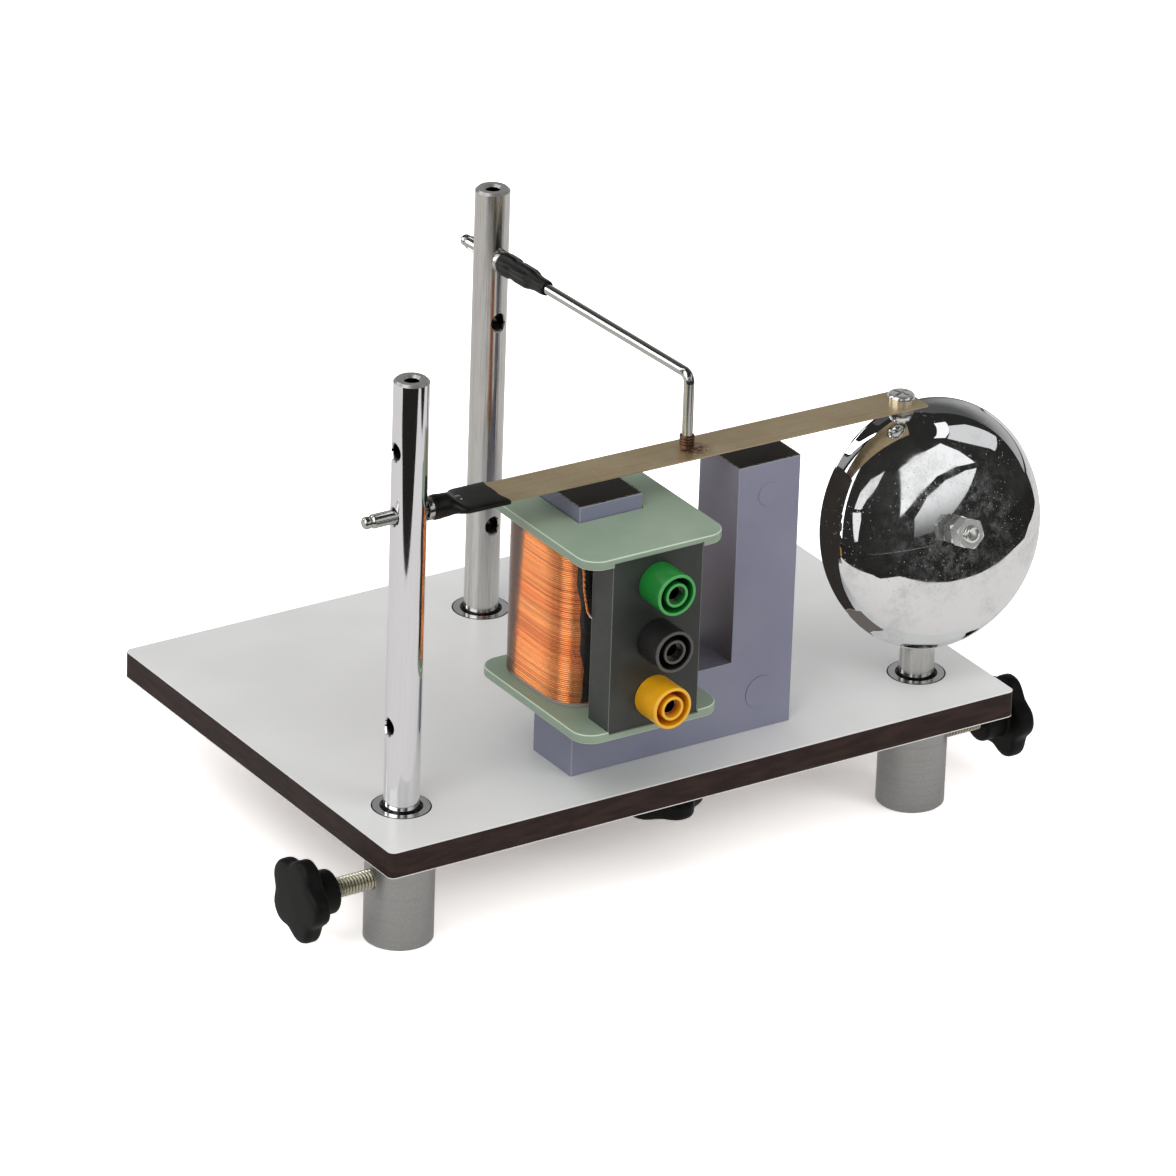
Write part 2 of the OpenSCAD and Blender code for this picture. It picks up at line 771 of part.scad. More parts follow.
function winding_path() =
    concat([[coil_mid[0] - lead_r, block_back_y, wire_low]],
           lead(-1, wire_low),
           [for (i = [0 : loops * rings_a_loop]) turn_point(i)],
           reversed(lead(1, wire_low + wire_rise)),
           [[coil_mid[0] + lead_r, block_back_y, wire_low + wire_rise]]);

// Least distance between points half a loop or more apart along the wire, less the wire
function least_gap(path) =
    min([for (i = [0 : len(path) - 1 - rings_a_loop / 2],
              j = [i + rings_a_loop / 2 : min(i + 2 * rings_a_loop, len(path) - 1)])
            norm(path[i] - path[j])]) - wire_d;

echo("least gap of the winding to itself in mm", least_gap(winding_path()));

module winding() {
    color("#e08a3c") tube(winding_path(), wire_d, 6);
}

// Clear film round the winding, open where the wire runs to the terminal block
module winding_film() {
    inside = winding_half + touch_gap;
    opening = 2 * (lead_r + wire_d);
    color("#d8d8d8", 0.4)
        translate([coil_mid[0], coil_mid[1], coil_floor])
            linear_extrude(coil_h)
                difference() {
                    polygon(bulged_outline(inside + film_t, 72));
                    polygon(bulged_outline(inside, 72));
                    translate([-opening / 2, -2 * winding_half])
                        square([opening, 2 * winding_half]);
                }
}

// Twisted end wire, from the top flange down to the back of the terminal block
module pigtail() {
    side = coil_mid[0] - block_w / 2;
    top = [side - pigtail_out, block_back_y + pigtail_back, coil_roof];
    end = [side + pigtail_in, block_back_y, coil_roof - pigtail_drop];
    bend = [0, pigtail_d, 0];
    color("#c4774a")
        tube(concat(soft(top, top - [0, 0, pigtail_drop * 2 / 3], end + bend, 8), [end]), pigtail_d, 6);
}

module terminal_block() {
    base = coil_floor - block_bite;
    depth = block_d;
    color("#464b46")
        difference() {
            translate([flange_mid[0] - block_w / 2, block_face_y, base])
                cube([block_w, depth, coil_h + 2 * block_bite]);
            for (i = [-1, 0, 1])
                in_socket(i)
                    translate([0, 0, -over - depth])
                        cylinder(d = stem_d, h = depth + 2 * over);
        }
}

// Frame of a socket: Z to the front, the block's face at zero
module in_socket(i) {
    translate([flange_mid[0] + socket_right, block_face_y,
               coil_floor + coil_h / 2 + i * coil_h * socket_share])
        rotate([90, 0, 0]) children();
}

module socket_shell(i) {
    sleeve_r = plug_hole_d / 2 + sleeve_wall;
    in_socket(i)
        difference() {
            rotate_extrude()
                polygon([[0, -block_d], [stem_d / 2, -block_d], [stem_d / 2, 0], [socket_d / 2, 0],
                         [socket_d / 2, socket_len - socket_rim_r],
                         [socket_d / 2 - socket_rim_r, socket_len],
                         [groove_d / 2, socket_len], [groove_d / 2, socket_len - groove_depth],
                         [inner_ring_d / 2, socket_len - groove_depth],
                         [inner_ring_d / 2, socket_len], [0, socket_len]]);
            translate([0, 0, -block_d - over])
                cylinder(r = sleeve_r, h = block_d + socket_len + 2 * over);
        }
}

module socket_green() {
    color("#1f8a34") socket_shell(1);
}

module socket_black() {
    color("#232021") socket_shell(0);
}

module socket_yellow() {
    color("#e9b21c") socket_shell(-1);
}

module socket_contacts() {
    sleeve_len = block_d + socket_len - sleeve_recess;
    color("#c8c2a8")
        for (i = [-1, 0, 1])
            in_socket(i)
                translate([0, 0, -block_d])
                    difference() {
                        cylinder(d = plug_hole_d + 2 * sleeve_wall, h = sleeve_len);
                        translate([0, 0, 2 * sleeve_wall])
                            cylinder(d = plug_hole_d, h = sleeve_len);
                    }
}

// A plug along Z: a beaded pin from its tip to the rod's flank, a rim and a shank
module plug(tip, shank_end) {
    r = plug_d / 2;
    rod_r = rod_d / 2;
    rim_r = shrink_d / 2 - rim_inset;
    bead_r = (r + waist_d / 2) / 2;
    waist_z = bead_len + waist_cone - tip;
    color("#c6c6c2")
        rotate_extrude()
            polygon(concat(soft([0, -tip], [bead_r, -tip], [bead_r, bead_len / 2 - tip], 4),
                           [[bead_r, bead_len - tip], [waist_d / 2, waist_z],
                            [waist_d / 2, waist_z + waist_len],
                            [r, waist_z + waist_len + waist_cone], [r, rod_r], [rim_r, rod_r],
                            [rim_r, rod_r + rim_t], [shank_d / 2, rod_r + rim_t],
                            [shank_d / 2, shank_end], [0, shank_end]]));
}

module leaf_plug() {
    translate([left_rod[0], left_rod[1], leaf_z])
        rotate([0, 90, 0]) plug(leaf_plug_tip, leaf_root - leaf_gap - touch_gap);
}

// Frame of the leaf: X along it from the left rod's axis, Z square to it
module in_leaf() {
    translate([left_rod[0], left_rod[1], leaf_z]) rotate([0, leaf_droop, 0]) children();
}

// Cross-section of the leaf's sleeve at a distance, a round that flattens
function sleeve_ring(x, half_w, half_t, power) =
    [for (k = [0 : 23])
        let (a = 15 * k,
             c = cos(a),
             s = sin(a))
            [x, half_w * sign(c) * pow(abs(c), power), half_t * sign(s) * pow(abs(s), power)]];

// A cross-section of the sleeve between the round (0) and the flat (1)
function sleeve_taper_ring(x, t) =
    let (ease = t * t * (3 - 2 * t), r = shrink_d / 2)
        sleeve_ring(x, r + (sleeve_flat_w / 2 - r) * ease, r + (sleeve_flat_t / 2 - r) * ease,
                    1 - ease / 2);

module leaf_sleeve() {
    start = rod_d / 2 + rim_t;
    lip_r = shrink_d / 2 - sleeve_lip;
    steps = 6;
    rings = concat([sleeve_ring(start, lip_r, lip_r, 1), sleeve_taper_ring(start + sleeve_lip, 0)],
                   [for (i = [0 : steps])
                       sleeve_taper_ring(start + sleeve_round + sleeve_taper * i / steps, i / steps)],
                   [sleeve_taper_ring(sleeve_mouth, 1)]);
    slot_w = leaf_w + 2 * leaf_gap;
    slot_t = leaf_t + 2 * leaf_gap;
    color("#1b1b1c")
        difference() {
            in_leaf() polyhedron([for (ring = rings) each ring], skin_faces(len(rings), 24));
            in_leaf()
                translate([leaf_root - leaf_gap, -slot_w / 2, -slot_t / 2])
                    cube([sleeve_mouth, slot_w, slot_t]);
            translate([left_rod[0], left_rod[1], leaf_z])
                rotate([0, 90, 0])
                    cylinder(d = shank_d, h = leaf_root);
        }
}

module leaf_spring() {
    color("#85755c")
        in_leaf()
            difference() {
                translate([leaf_root, -leaf_w / 2, -leaf_t / 2])
                    cube([leaf_end - leaf_root, leaf_w, leaf_t]);
                translate([striker_out, 0, -over])
                    cylinder(d = striker_screw_d, h = 2 * over);
            }
}

// The striker: a pan head screw above the leaf and a domed nut below it
module striker_screw() {
    r = striker_head_d / 2;
    color("#c4c6c8")
        in_leaf()
            translate([striker_out, 0, leaf_t / 2])
                difference() {
                    rotate_extrude()
                        polygon(concat([[0, -leaf_t - striker_reach],
                                        [striker_screw_d / 2, -leaf_t - striker_reach],
                                        [striker_screw_d / 2, 0], [r, 0]],
                                       soft([r, striker_head_h - striker_round], [r, striker_head_h],
                                            [r - striker_round, striker_head_h], 5),
                                       [[0, striker_head_h]]));
                    for (turn = [0, 90])
                        rotate([0, 0, turn + cross_slot_turn])
                            translate([0, 0, striker_head_h])
                                cube([2 * (r - striker_round), cross_slot_w, striker_head_h],
                                     center = true);
                }
}

module striker_nut() {
    dome_r = striker_nut_af / 2 - dome_inset;
    color("#c4c6c8")
        in_leaf()
            translate([striker_out, 0, -leaf_t / 2])
                difference() {
                    union() {
                        translate([0, 0, -striker_nut_h])
                            cylinder(d = striker_nut_af / cos(30), h = striker_nut_h, $fn = 6);
                        translate([0, 0, -striker_nut_h])
                            rotate_extrude()
                                polygon(concat([[0, dome_foot], [dome_r, dome_foot]],
                                               [for (a = [0 : 15 : 90])
                                                   [dome_r * cos(a),
                                                    -dome_foot - (striker_dome_h - dome_foot) * sin(a)]]));
                    }
                    translate([0, 0, -striker_reach])
                        cylinder(d = striker_screw_d, h = striker_reach + over);
                }
}

// The contact arm, in a frame with X along it from the rear rod's axis
contact_vector = [rear_rod[0] + contact_right, left_rod[1]] - rear_rod;
arm_len = norm(contact_vector);
arm_turn = atan2(contact_vector[1], contact_vector[0]);
tip_floor = leaf_z + leaf_t / 2 / cos(leaf_droop) + touch_gap
            - (rear_rod[0] + contact_right - left_rod[0] - tip_d / 2) * tan(leaf_droop);
arm_wire_start = arm_sleeve_end - arm_wire_grip;

module in_arm() {
    translate([rear_rod[0], rear_rod[1], arm_z]) rotate([0, 0, arm_turn]) children();
}

module contact_plug() {
    in_arm()
        rotate([0, 90, 0]) plug(arm_plug_tip, arm_wire_start - arm_inner_gap);
}

module contact_sleeve() {
    start = rod_d / 2 + rim_t;
    r = shrink_d / 2;
    crimp = start + arm_sleeve_root + crimp_len;
    neck_r = arm_wire_d / 2 + arm_neck_wall;
    end = arm_sleeve_end + arm_neck_len;
    color("#1b1b1c")
        in_arm()
            rotate([0, 90, 0])
                difference() {
                    rotate_extrude()
                        polygon([[0, start], [r - sleeve_lip, start], [r, start + sleeve_lip],
                                 [r, crimp - crimp_len], [r - crimp_depth, crimp],
                                 [r - crimp_depth / 2, crimp + crimp_len],
                                 [r - crimp_depth / 2, arm_sleeve_end - arm_slope_len],
                                 [neck_r, arm_sleeve_end], [neck_r, end - sleeve_lip],
                                 [neck_r - sleeve_lip, end], [0, end]]);
                    cylinder(d = shank_d, h = arm_wire_start - arm_inner_gap);
                    cylinder(d = arm_wire_d, h = end + over);
                }
}

// The arm's wire: along the arm, round one tight bend and down to the contact
module contact_wire() {
    low = tip_floor + tip_wall - arm_z;
    color("#b7b9bc")
        in_arm() {
            translate([arm_wire_start, 0, 0])
                rotate([0, 90, 0])
                    cylinder(d = arm_wire_d, h = arm_len - arm_bend_r - arm_wire_start);
            translate([arm_len - arm_bend_r, 0, -arm_bend_r])
                rotate([90, 0, 0])
                    rotate_extrude(angle = 90)
                        translate([arm_bend_r, 0]) circle(d = arm_wire_d);
            translate([arm_len, 0, low])
                cylinder(d = arm_wire_d, h = -arm_bend_r - low);
        }
}

// One rib of the contact tip: how far out and how far along its pitch each point lies
rib_points = [[0, 0], [1, 1 / 4], [1, 3 / 4], [0, 0.95]];

// The contact tip: a ribbed collar with a domed end, over the end of the wire
module contact_tip() {
    r = tip_d / 2;
    root_r = r - tip_rib_depth;
    pitch = (tip_h - tip_nose) / tip_ribs;
    color("#7a5a44")
        translate([rear_rod[0] + contact_right, left_rod[1], tip_floor])
            difference() {
                rotate_extrude()
                    polygon(concat(soft([0, 0], [root_r, 0], [root_r, tip_nose / 2], 4),
                                   [for (i = [0 : tip_ribs - 1], point = rib_points)
                                       [root_r + point[0] * tip_rib_depth,
                                        tip_nose + (i + point[1]) * pitch]],
                                   [[root_r, tip_h], [0, tip_h]]));
                translate([0, 0, tip_wall])
                    cylinder(d = arm_wire_d, h = tip_h);
            }
}

// The gong: a tapering skirt and a shallow crown, joined by a soft round
crown_h = gong_depth - skirt_len;
crown_r = (pow(crown_edge_r, 2) + pow(crown_h, 2)) / (2 * crown_h);
crown_mid = gong_depth - crown_r;

// Height of the crown over the rim's plane, on the outside or the inside
function crown(x, wall) = crown_mid + sqrt(pow(crown_r - wall, 2) - pow(x, 2));

function gong_profile(wall) =
    let (rim = [gong_r - wall, 0],
         corner = [crown_edge_r - wall, crown(crown_edge_r - wall, wall)],
         low = rim + (corner - rim) * round_start,
         x = crown_edge_r * round_end)
        concat([rim],
               soft(low, corner, [x, crown(x, wall)], 8),
               [for (i = [1 : 6]) let (u = x * (1 - i / 6)) [u, crown(u, wall)]]);

module gong() {
    color("#d4d6d8")
        in_gong()
            difference() {
                rotate_extrude($fn = 96)
                    polygon(concat(gong_profile(0), reversed(gong_profile(gong_wall))));
                cylinder(d = stud_d + 2 * running_gap, h = 2 * gong_depth);
            }
}

module gong_stud() {
    color("#c4c6c8")
        in_gong()
            translate([0, 0, -stud_back])
                cylinder(d = stud_d, h = stud_front + stud_back);
}

// A six-sided nut along Z with chamfered corners
module hex_nut() {
    corner = nut_af / cos(30) / 2;
    c = corner - nut_af / 2;
    slope = c * tan(30);
    difference() {
        intersection() {
            cylinder(r = corner, h = nut_h, $fn = 6);
            rotate_extrude()
                polygon([[0, 0], [corner - c, 0], [corner, slope], [corner, nut_h - slope],
                         [corner - c, nut_h], [0, nut_h]]);
        }
        translate([0, 0, -over])
            cylinder(d = stud_d, h = nut_h + 2 * over);
    }
}

outer_nut_z = gong_depth;
inner_nut_z = crown(nut_af / cos(30) / 2, gong_wall) - nut_h - touch_gap;

module gong_nuts() {
    color("#c4c6c8")
        in_gong()
            for (z = [inner_nut_z, outer_nut_z])
                translate([0, 0, z]) hex_nut();
}

module gong_lock_nut() {
    color("#c4c6c8")
        in_gong()
            translate([0, 0, outer_nut_z + nut_h])
                rotate([0, 0, lock_nut_turn]) hex_nut();
}

base_board();
top_laminate();
bottom_laminate();
foot_left();
foot_right();
foot_rear();
rod_left();
rod_rear();
rod_gong();
clamp_screw_left();
clamp_screw_right();
clamp_screw_rear();
knob_left();
knob_right();
knob_rear();
core_screw();
knob_core();
core_washer();
u_core();
core_rivets();
coil_former();
winding_core();
winding();
winding_film();
pigtail();
terminal_block();
socket_green();
socket_black();
socket_yellow();
socket_contacts();
leaf_plug();
leaf_sleeve();
leaf_spring();
striker_screw();
striker_nut();
contact_plug();
contact_sleeve();
contact_wire();
contact_tip();
gong();
gong_stud();
gong_nuts();
gong_lock_nut();
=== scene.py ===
"""Electric bell demonstrator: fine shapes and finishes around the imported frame."""
import json
import math

import bmesh
import bpy
from mathutils import Matrix, Vector, noise
from mathutils.geometry import tessellate_polygon


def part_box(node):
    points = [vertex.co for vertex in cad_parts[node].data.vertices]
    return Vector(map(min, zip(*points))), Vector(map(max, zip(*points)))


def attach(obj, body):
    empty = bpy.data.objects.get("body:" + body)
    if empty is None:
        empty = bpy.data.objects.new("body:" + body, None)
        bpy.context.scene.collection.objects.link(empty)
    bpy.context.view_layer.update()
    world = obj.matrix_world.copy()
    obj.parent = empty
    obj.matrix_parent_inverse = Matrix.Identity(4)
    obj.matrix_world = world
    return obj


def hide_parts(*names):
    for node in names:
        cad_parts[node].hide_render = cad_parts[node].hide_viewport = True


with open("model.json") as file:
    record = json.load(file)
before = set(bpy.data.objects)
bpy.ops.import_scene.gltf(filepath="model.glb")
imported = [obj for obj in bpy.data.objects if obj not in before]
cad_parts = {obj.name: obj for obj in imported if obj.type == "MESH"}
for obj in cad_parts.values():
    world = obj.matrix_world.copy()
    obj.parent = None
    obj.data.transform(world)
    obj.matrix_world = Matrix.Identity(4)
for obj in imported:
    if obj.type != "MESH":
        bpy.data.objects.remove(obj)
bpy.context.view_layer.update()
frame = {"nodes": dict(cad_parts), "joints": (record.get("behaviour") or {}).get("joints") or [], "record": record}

MM = 0.001


def box_mm(node):
    """Lowest and highest corner of a CAD node, in millimetres."""
    lo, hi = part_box(node)
    return Vector(lo) / MM, Vector(hi) / MM


def middle(node):
    lo, hi = box_mm(node)
    return (lo + hi) / 2


def srgb(code, share=1):
    """A linear colour from six hexadecimal digits of sRGB, darkened to a share."""
    def linear(c):
        c /= 255
        return c / 12.92 if c <= 0.04045 else ((c + 0.055) / 1.055) ** 2.4
    return [linear(int(code[i:i + 2], 16)) * share for i in (0, 2, 4)] + [1.0]


def placed(name, data):
    """A new object in the scene."""
    made = bpy.data.objects.new(name, data)
    bpy.context.scene.collection.objects.link(made)
    return made


# ---- camera

CAMERA_AT = Vector((-1238.2, -1872.0, 1137.2)) * MM
CAMERA_AZIMUTH, CAMERA_ELEVATION, CAMERA_ROLL = (math.radians(a) for a in (33.508, 25.487, 1.974))
CAMERA_LENS = 271.79

ahead = Vector((math.sin(CAMERA_AZIMUTH) * math.cos(CAMERA_ELEVATION),
                math.cos(CAMERA_AZIMUTH) * math.cos(CAMERA_ELEVATION),
                -math.sin(CAMERA_ELEVATION)))
level = Vector((math.cos(CAMERA_AZIMUTH), -math.sin(CAMERA_AZIMUTH), 0))
above = level.cross(ahead)
across = level * math.cos(CAMERA_ROLL) + above * math.sin(CAMERA_ROLL)
upward = above * math.cos(CAMERA_ROLL) - level * math.sin(CAMERA_ROLL)

camera_data = bpy.data.cameras.new("camera")
camera_data.sensor_width = 36
camera_data.lens = CAMERA_LENS
camera_data.clip_start = 0.1
camera_data.clip_end = 30
camera = placed("camera", camera_data)
camera.matrix_world = Matrix((across, upward, -ahead)).transposed().to_4x4()
camera.location = CAMERA_AT
bpy.context.scene.camera = camera
bpy.context.scene.view_settings.view_transform = "Standard"


# ---- shader nodes

class Value:
    """A node's output, which can be added, multiplied and taken from a number."""

    def __init__(self, nodes, socket):
        self.nodes, self.socket = nodes, socket

    def __add__(self, other):
        return self.nodes.math("ADD", self, other)

    def __mul__(self, other):
        return self.nodes.math("MULTIPLY", self, other)

    def __rsub__(self, other):
        return self.nodes.math("SUBTRACT", other, self)


class Nodes:
    """The node tree of a material or a world."""

    def __init__(self, owner, bare=True):
        owner.use_nodes = True
        self.owner, self.tree = owner, owner.node_tree
        if bare:
            self.tree.nodes.clear()

    def feed(self, socket, value):
        if isinstance(value, Value):
            self.tree.links.new(value.socket, socket)
        else:
            socket.default_value = value

    def add(self, kind, inputs={}, out=0, **settings):
        """The output of a new node, whose inputs are given by name or by place."""
        made = self.tree.nodes.new("ShaderNode" + kind)
        for key, value in settings.items():
            setattr(made, key, value)
        for key, value in inputs.items():
            self.feed(made.inputs[key], value)
        return Value(self, made.outputs[out]) if made.outputs else None

    def math(self, operation, a, b=0.0, clamp=False):
        return self.add("Math", {0: a, 1: b}, operation=operation, use_clamp=clamp)

    def vector(self, operation, *inputs, out="Value"):
        return self.add("VectorMath", dict(enumerate(inputs)), out, operation=operation)

    def geometry(self, out):
        return self.add("NewGeometry", out=out)

    def axis(self, name, of=None):
        return self.add("SeparateXYZ", {0: of or self.place}, name)

    def step(self, value, low, high, to_low=0.0, to_high=1.0):
        """A smooth step between two values."""
        return self.add("MapRange", {"Value": value, "From Min": low, "From Max": high, "To Min": to_low,
                                     "To Max": to_high}, "Result", interpolation_type="SMOOTHSTEP")


class Finish(Nodes):
    """A procedural material: a Principled shader, and the nodes that vary it in place.

    Colours are hexadecimal sRGB; a list is a linear colour."""

    def __init__(self, name, colour, roughness=0.5, **sockets):
        super().__init__(bpy.data.materials.new(name), bare=False)
        self.shader = self.tree.nodes["Principled BSDF"]
        self.put("Base Color", srgb(colour))
        self.put("Roughness", roughness)
        for key, value in sockets.items():
            self.put(key.replace("_", " "), value)
        self.place = self.add("TexCoord", out="Object")
        self.height = None

    def put(self, name, value):
        self.feed(self.shader.inputs[name], value)

    def spread(self, stretch):
        return self.add("Mapping", {"Vector": self.place, "Scale": stretch}) if stretch else self.place

    def noise(self, scale, detail=4.0, roughness=0.55, stretch=None):
        """Noise from 0 to 1; scale counts its waves to the metre."""
        return self.add("TexNoise", {"Scale": scale, "Detail": detail, "Roughness": roughness,
                                     "Vector": self.spread(stretch)}, "Fac")

    def cells(self, scale):
        """Distance to the nearest of scattered points."""
        return self.add("TexVoronoi", {"Scale": scale, "Vector": self.place}, "Distance")

    def edges(self, radius_mm, low=0.995, high=0.9):
        """1 along sharp edges, and 0 on the faces between them."""
        bevel = self.add("Bevel", {"Radius": radius_mm * MM}, samples=6)
        return self.step(self.vector("DOT_PRODUCT", bevel, self.geometry("Normal")), low, high)

    def facing(self, axis):
        """How far the surface faces along an axis."""
        return self.axis(axis, self.geometry("Normal"))

    def rounding(self, axis):
        """1 on the rounded edges between faces that lie across an axis and faces along it."""
        lean = self.math("ABSOLUTE", self.facing(axis))
        return self.step(lean, 0.1, 0.3) * self.step(lean, 0.98, 0.9)

    def radius(self, node, across=(1, 0, 1)):
        """Distance from an axis through a node's middle, measured along the given directions."""
        moved = self.vector("SUBTRACT", self.place, middle(node) * MM, out="Vector")
        return self.vector("LENGTH", self.vector("MULTIPLY", moved, across, out="Vector"))

    def distance(self, point):
        return self.vector("DISTANCE", self.place, point)

    def mix(self, factor, a, b):
        a, b = (srgb(c) if isinstance(c, str) else c for c in (a, b))
        return self.add("Mix", {0: factor, 6: a, 7: b}, 2, data_type="RGBA")

    def blend(self, factor, a, b):
        """A number that goes from a to b with a factor."""
        return self.add("Mix", {0: factor, 2: a, 3: b}, data_type="FLOAT")

    def tones(self, mask, low, high):
        """Makes the colour go from low to high with a mask."""
        self.tone = self.mix(mask, low, high)
        self.put("Base Color", self.tone)

    def mark(self, mask, colour):
        """Lays a colour over what is there."""
        self.tones(mask, self.tone, colour)

    def rough(self, value, low=None, high=None):
        self.put("Roughness", value if low is None else self.blend(value, low, high))

    def bump(self, value, depth_mm, strength=1.0):
        """Adds relief; several calls stack."""
        below = {"Normal": self.height} if self.height else {}
        self.height = self.add("Bump", {"Strength": strength, "Distance": depth_mm * MM, "Height": value,
                                        **below})
        self.put("Normal", self.height)

    def follow(self, value, span, low, high, rough, relief):
        """Colour, roughness and relief that all follow one noise."""
        self.tones(self.step(value, *span), low, high)
        self.rough(value, *rough)
        self.bump(value, *relief)


# ---- finishes

YOKE_H = 22.6


def laminate_finish():
    f = Finish("laminate_white", "eaeae9", 0.34)
    cloud = f.noise(14, 3)
    scuff = f.step(f.noise(60, 8, 0.7, (1, 7, 1)), 0.62, 0.72)
    f.tones(f.step(cloud, 0.35, 0.7), "e5e5e4", "eeeeed")
    f.mark(f.step(f.noise(1900, 2), 0.6, 0.75) * 0.25, "cececd")
    f.mark(scuff * 0.12, "cecdcb")
    # Lighter edges: partly wear, partly painted highlight.
    f.mark(f.edges(0.35) * 0.9, "fafafa")
    f.rough(cloud, 0.26, 0.42)
    f.bump(f.noise(2600, 3), 0.02, 0.35)
    f.bump(scuff, 0.01, 0.3)
    return f.owner


def board_core_finish():
    f = Finish("fibre_core", "322420", 0.55, Specular_IOR_Level=0.2)
    layers = f.noise(300, 4, 0.6, (0.3, 0.3, 1.6))
    grain = f.noise(1500, 5, 0.7)
    f.tones(f.step(layers, 0.35, 0.7), "2b1e1b", "3a2a24")
    f.mark(f.step(grain, 0.62, 0.72) * 0.3, "4e3c34")
    # Lighter edges: partly wear, partly painted highlight.
    f.mark(f.edges(0.3) * 0.3, "54463e")
    f.rough(grain, 0.45, 0.7)
    f.bump(layers, 0.05, 0.5)
    f.bump(grain, 0.04, 0.4)
    return f.owner


def steel(name, tone, dark, roughness, lines=0.12, specks=0.3, stretch=(1, 1, 0.03), metallic=1.0,
          groove_shade=0.0, bored=()):
    """Drawn or plated metal: fine lines along it, clouds in the polish and dark specks.

    Painted shade darkens the grooves with a weight, and the bores of upright rods; their ends are turned."""
    f = Finish(name, tone, roughness, Metallic=metallic)
    cloud = f.noise(70, 5, 0.6)
    drawn = f.noise(2600, 3, 0.6, stretch)
    mark = f.step(f.cells(520), 0.1, 0.04) * f.step(f.noise(45, 2), 0.56, 0.66) * specks
    polish = f.blend(f.step(cloud, 0.3, 0.75), roughness * 0.75, roughness * 1.4)
    f.tones(f.step(drawn, 0.45, 0.7) * lines, tone, dark)
    f.mark(mark, dark)
    if groove_shade:
        # Painted shade in the thread roots and other hollows, found by pointiness.
        f.mark(f.step(f.geometry("Pointiness"), 0.505, 0.46) * groove_shade, srgb(dark, 0.3))
    if bored:
        turned = f.step(f.facing("Z"), 0.6, 0.68)
        f.mark(turned, "acaba8")
        upright = f.step(f.facing("Z"), 0.5, 0.3)
        # Painted shade: the walls of each rod's bore are darkened below its top.
        for node in bored:
            top = box_mm(node)[1].z * MM
            inside = f.step(f.radius(node, (1, 1, 0)), 4.85 * MM, 4.4 * MM)
            wall = f.math("MAXIMUM", upright, f.step(f.axis("Z"), top - 3 * MM, top - 5 * MM))
            f.mark(inside * wall, "282624")
        f.put("Metallic", f.blend(turned, metallic, 0.7))
        polish = f.blend(turned, polish, 0.34)
    f.rough(polish + mark * 0.25)
    f.bump(drawn, 0.01, lines)
    f.bump(mark, 0.02, 0.4)
    return f.owner


def foot_finish():
    """Matte turned aluminium below the board, and a bright turned ring above it, with painted shade in the ring's
    mouth round the rod.
    """
    f = Finish("turned_aluminium", "a8a8a7", 0.36, Metallic=1.0)
    grain = f.noise(3600, 3, 0.6)
    rings = f.noise(1500, 2, 0.5, (0.02, 0.02, 1))
    board_under = box_mm("bottom_laminate")[0].z * MM
    ring = f.step(f.axis("Z"), board_under + 2 * MM, board_under + 3 * MM)
    near = 1.0
    for foot in ("foot_left", "foot_right", "foot_rear"):
        near = f.math("MINIMUM", near, f.radius(foot, (1, 1, 0)))
    # Painted shade: a dark, less metallic band in the ring's mouth round the rod, where the gap lies in shade.
    mouth = ring * f.step(near, 6.15 * MM, 5.95 * MM)
    f.tones(f.step(grain, 0.35, 0.7), "a0a09f", "b2b2b0")
    f.mark(f.step(rings, 0.5, 0.7) * 0.2, "8e8e8d")
    f.mark(ring, f.mix(f.step(rings, 0.3, 0.7), "cecece", "e2e2e2"))
    f.mark(mouth, "2e2b28")
    f.rough(ring, f.blend(grain, 0.3, 0.42), f.blend(rings, 0.16, 0.28))
    f.put("Metallic", f.blend(mouth, 1.0, 0.5))
    f.bump(grain * (1.0 - ring), 0.012, 0.3)
    f.bump(rings, 0.02, 0.2)
    return f.owner


def knob_finish():
    f = Finish("knob_black", "141412", Specular_IOR_Level=0.15)
    grain = f.noise(2300, 5, 0.65)
    wear = f.step(f.noise(160, 4), 0.5, 0.7)
    f.tones(wear * 0.5, "0e0e0d", "181816")
    f.rough(grain, 0.36, 0.56)
    f.bump(grain, 0.05, 0.55)
    f.bump(wear, 0.03, 0.2)
    return f.owner


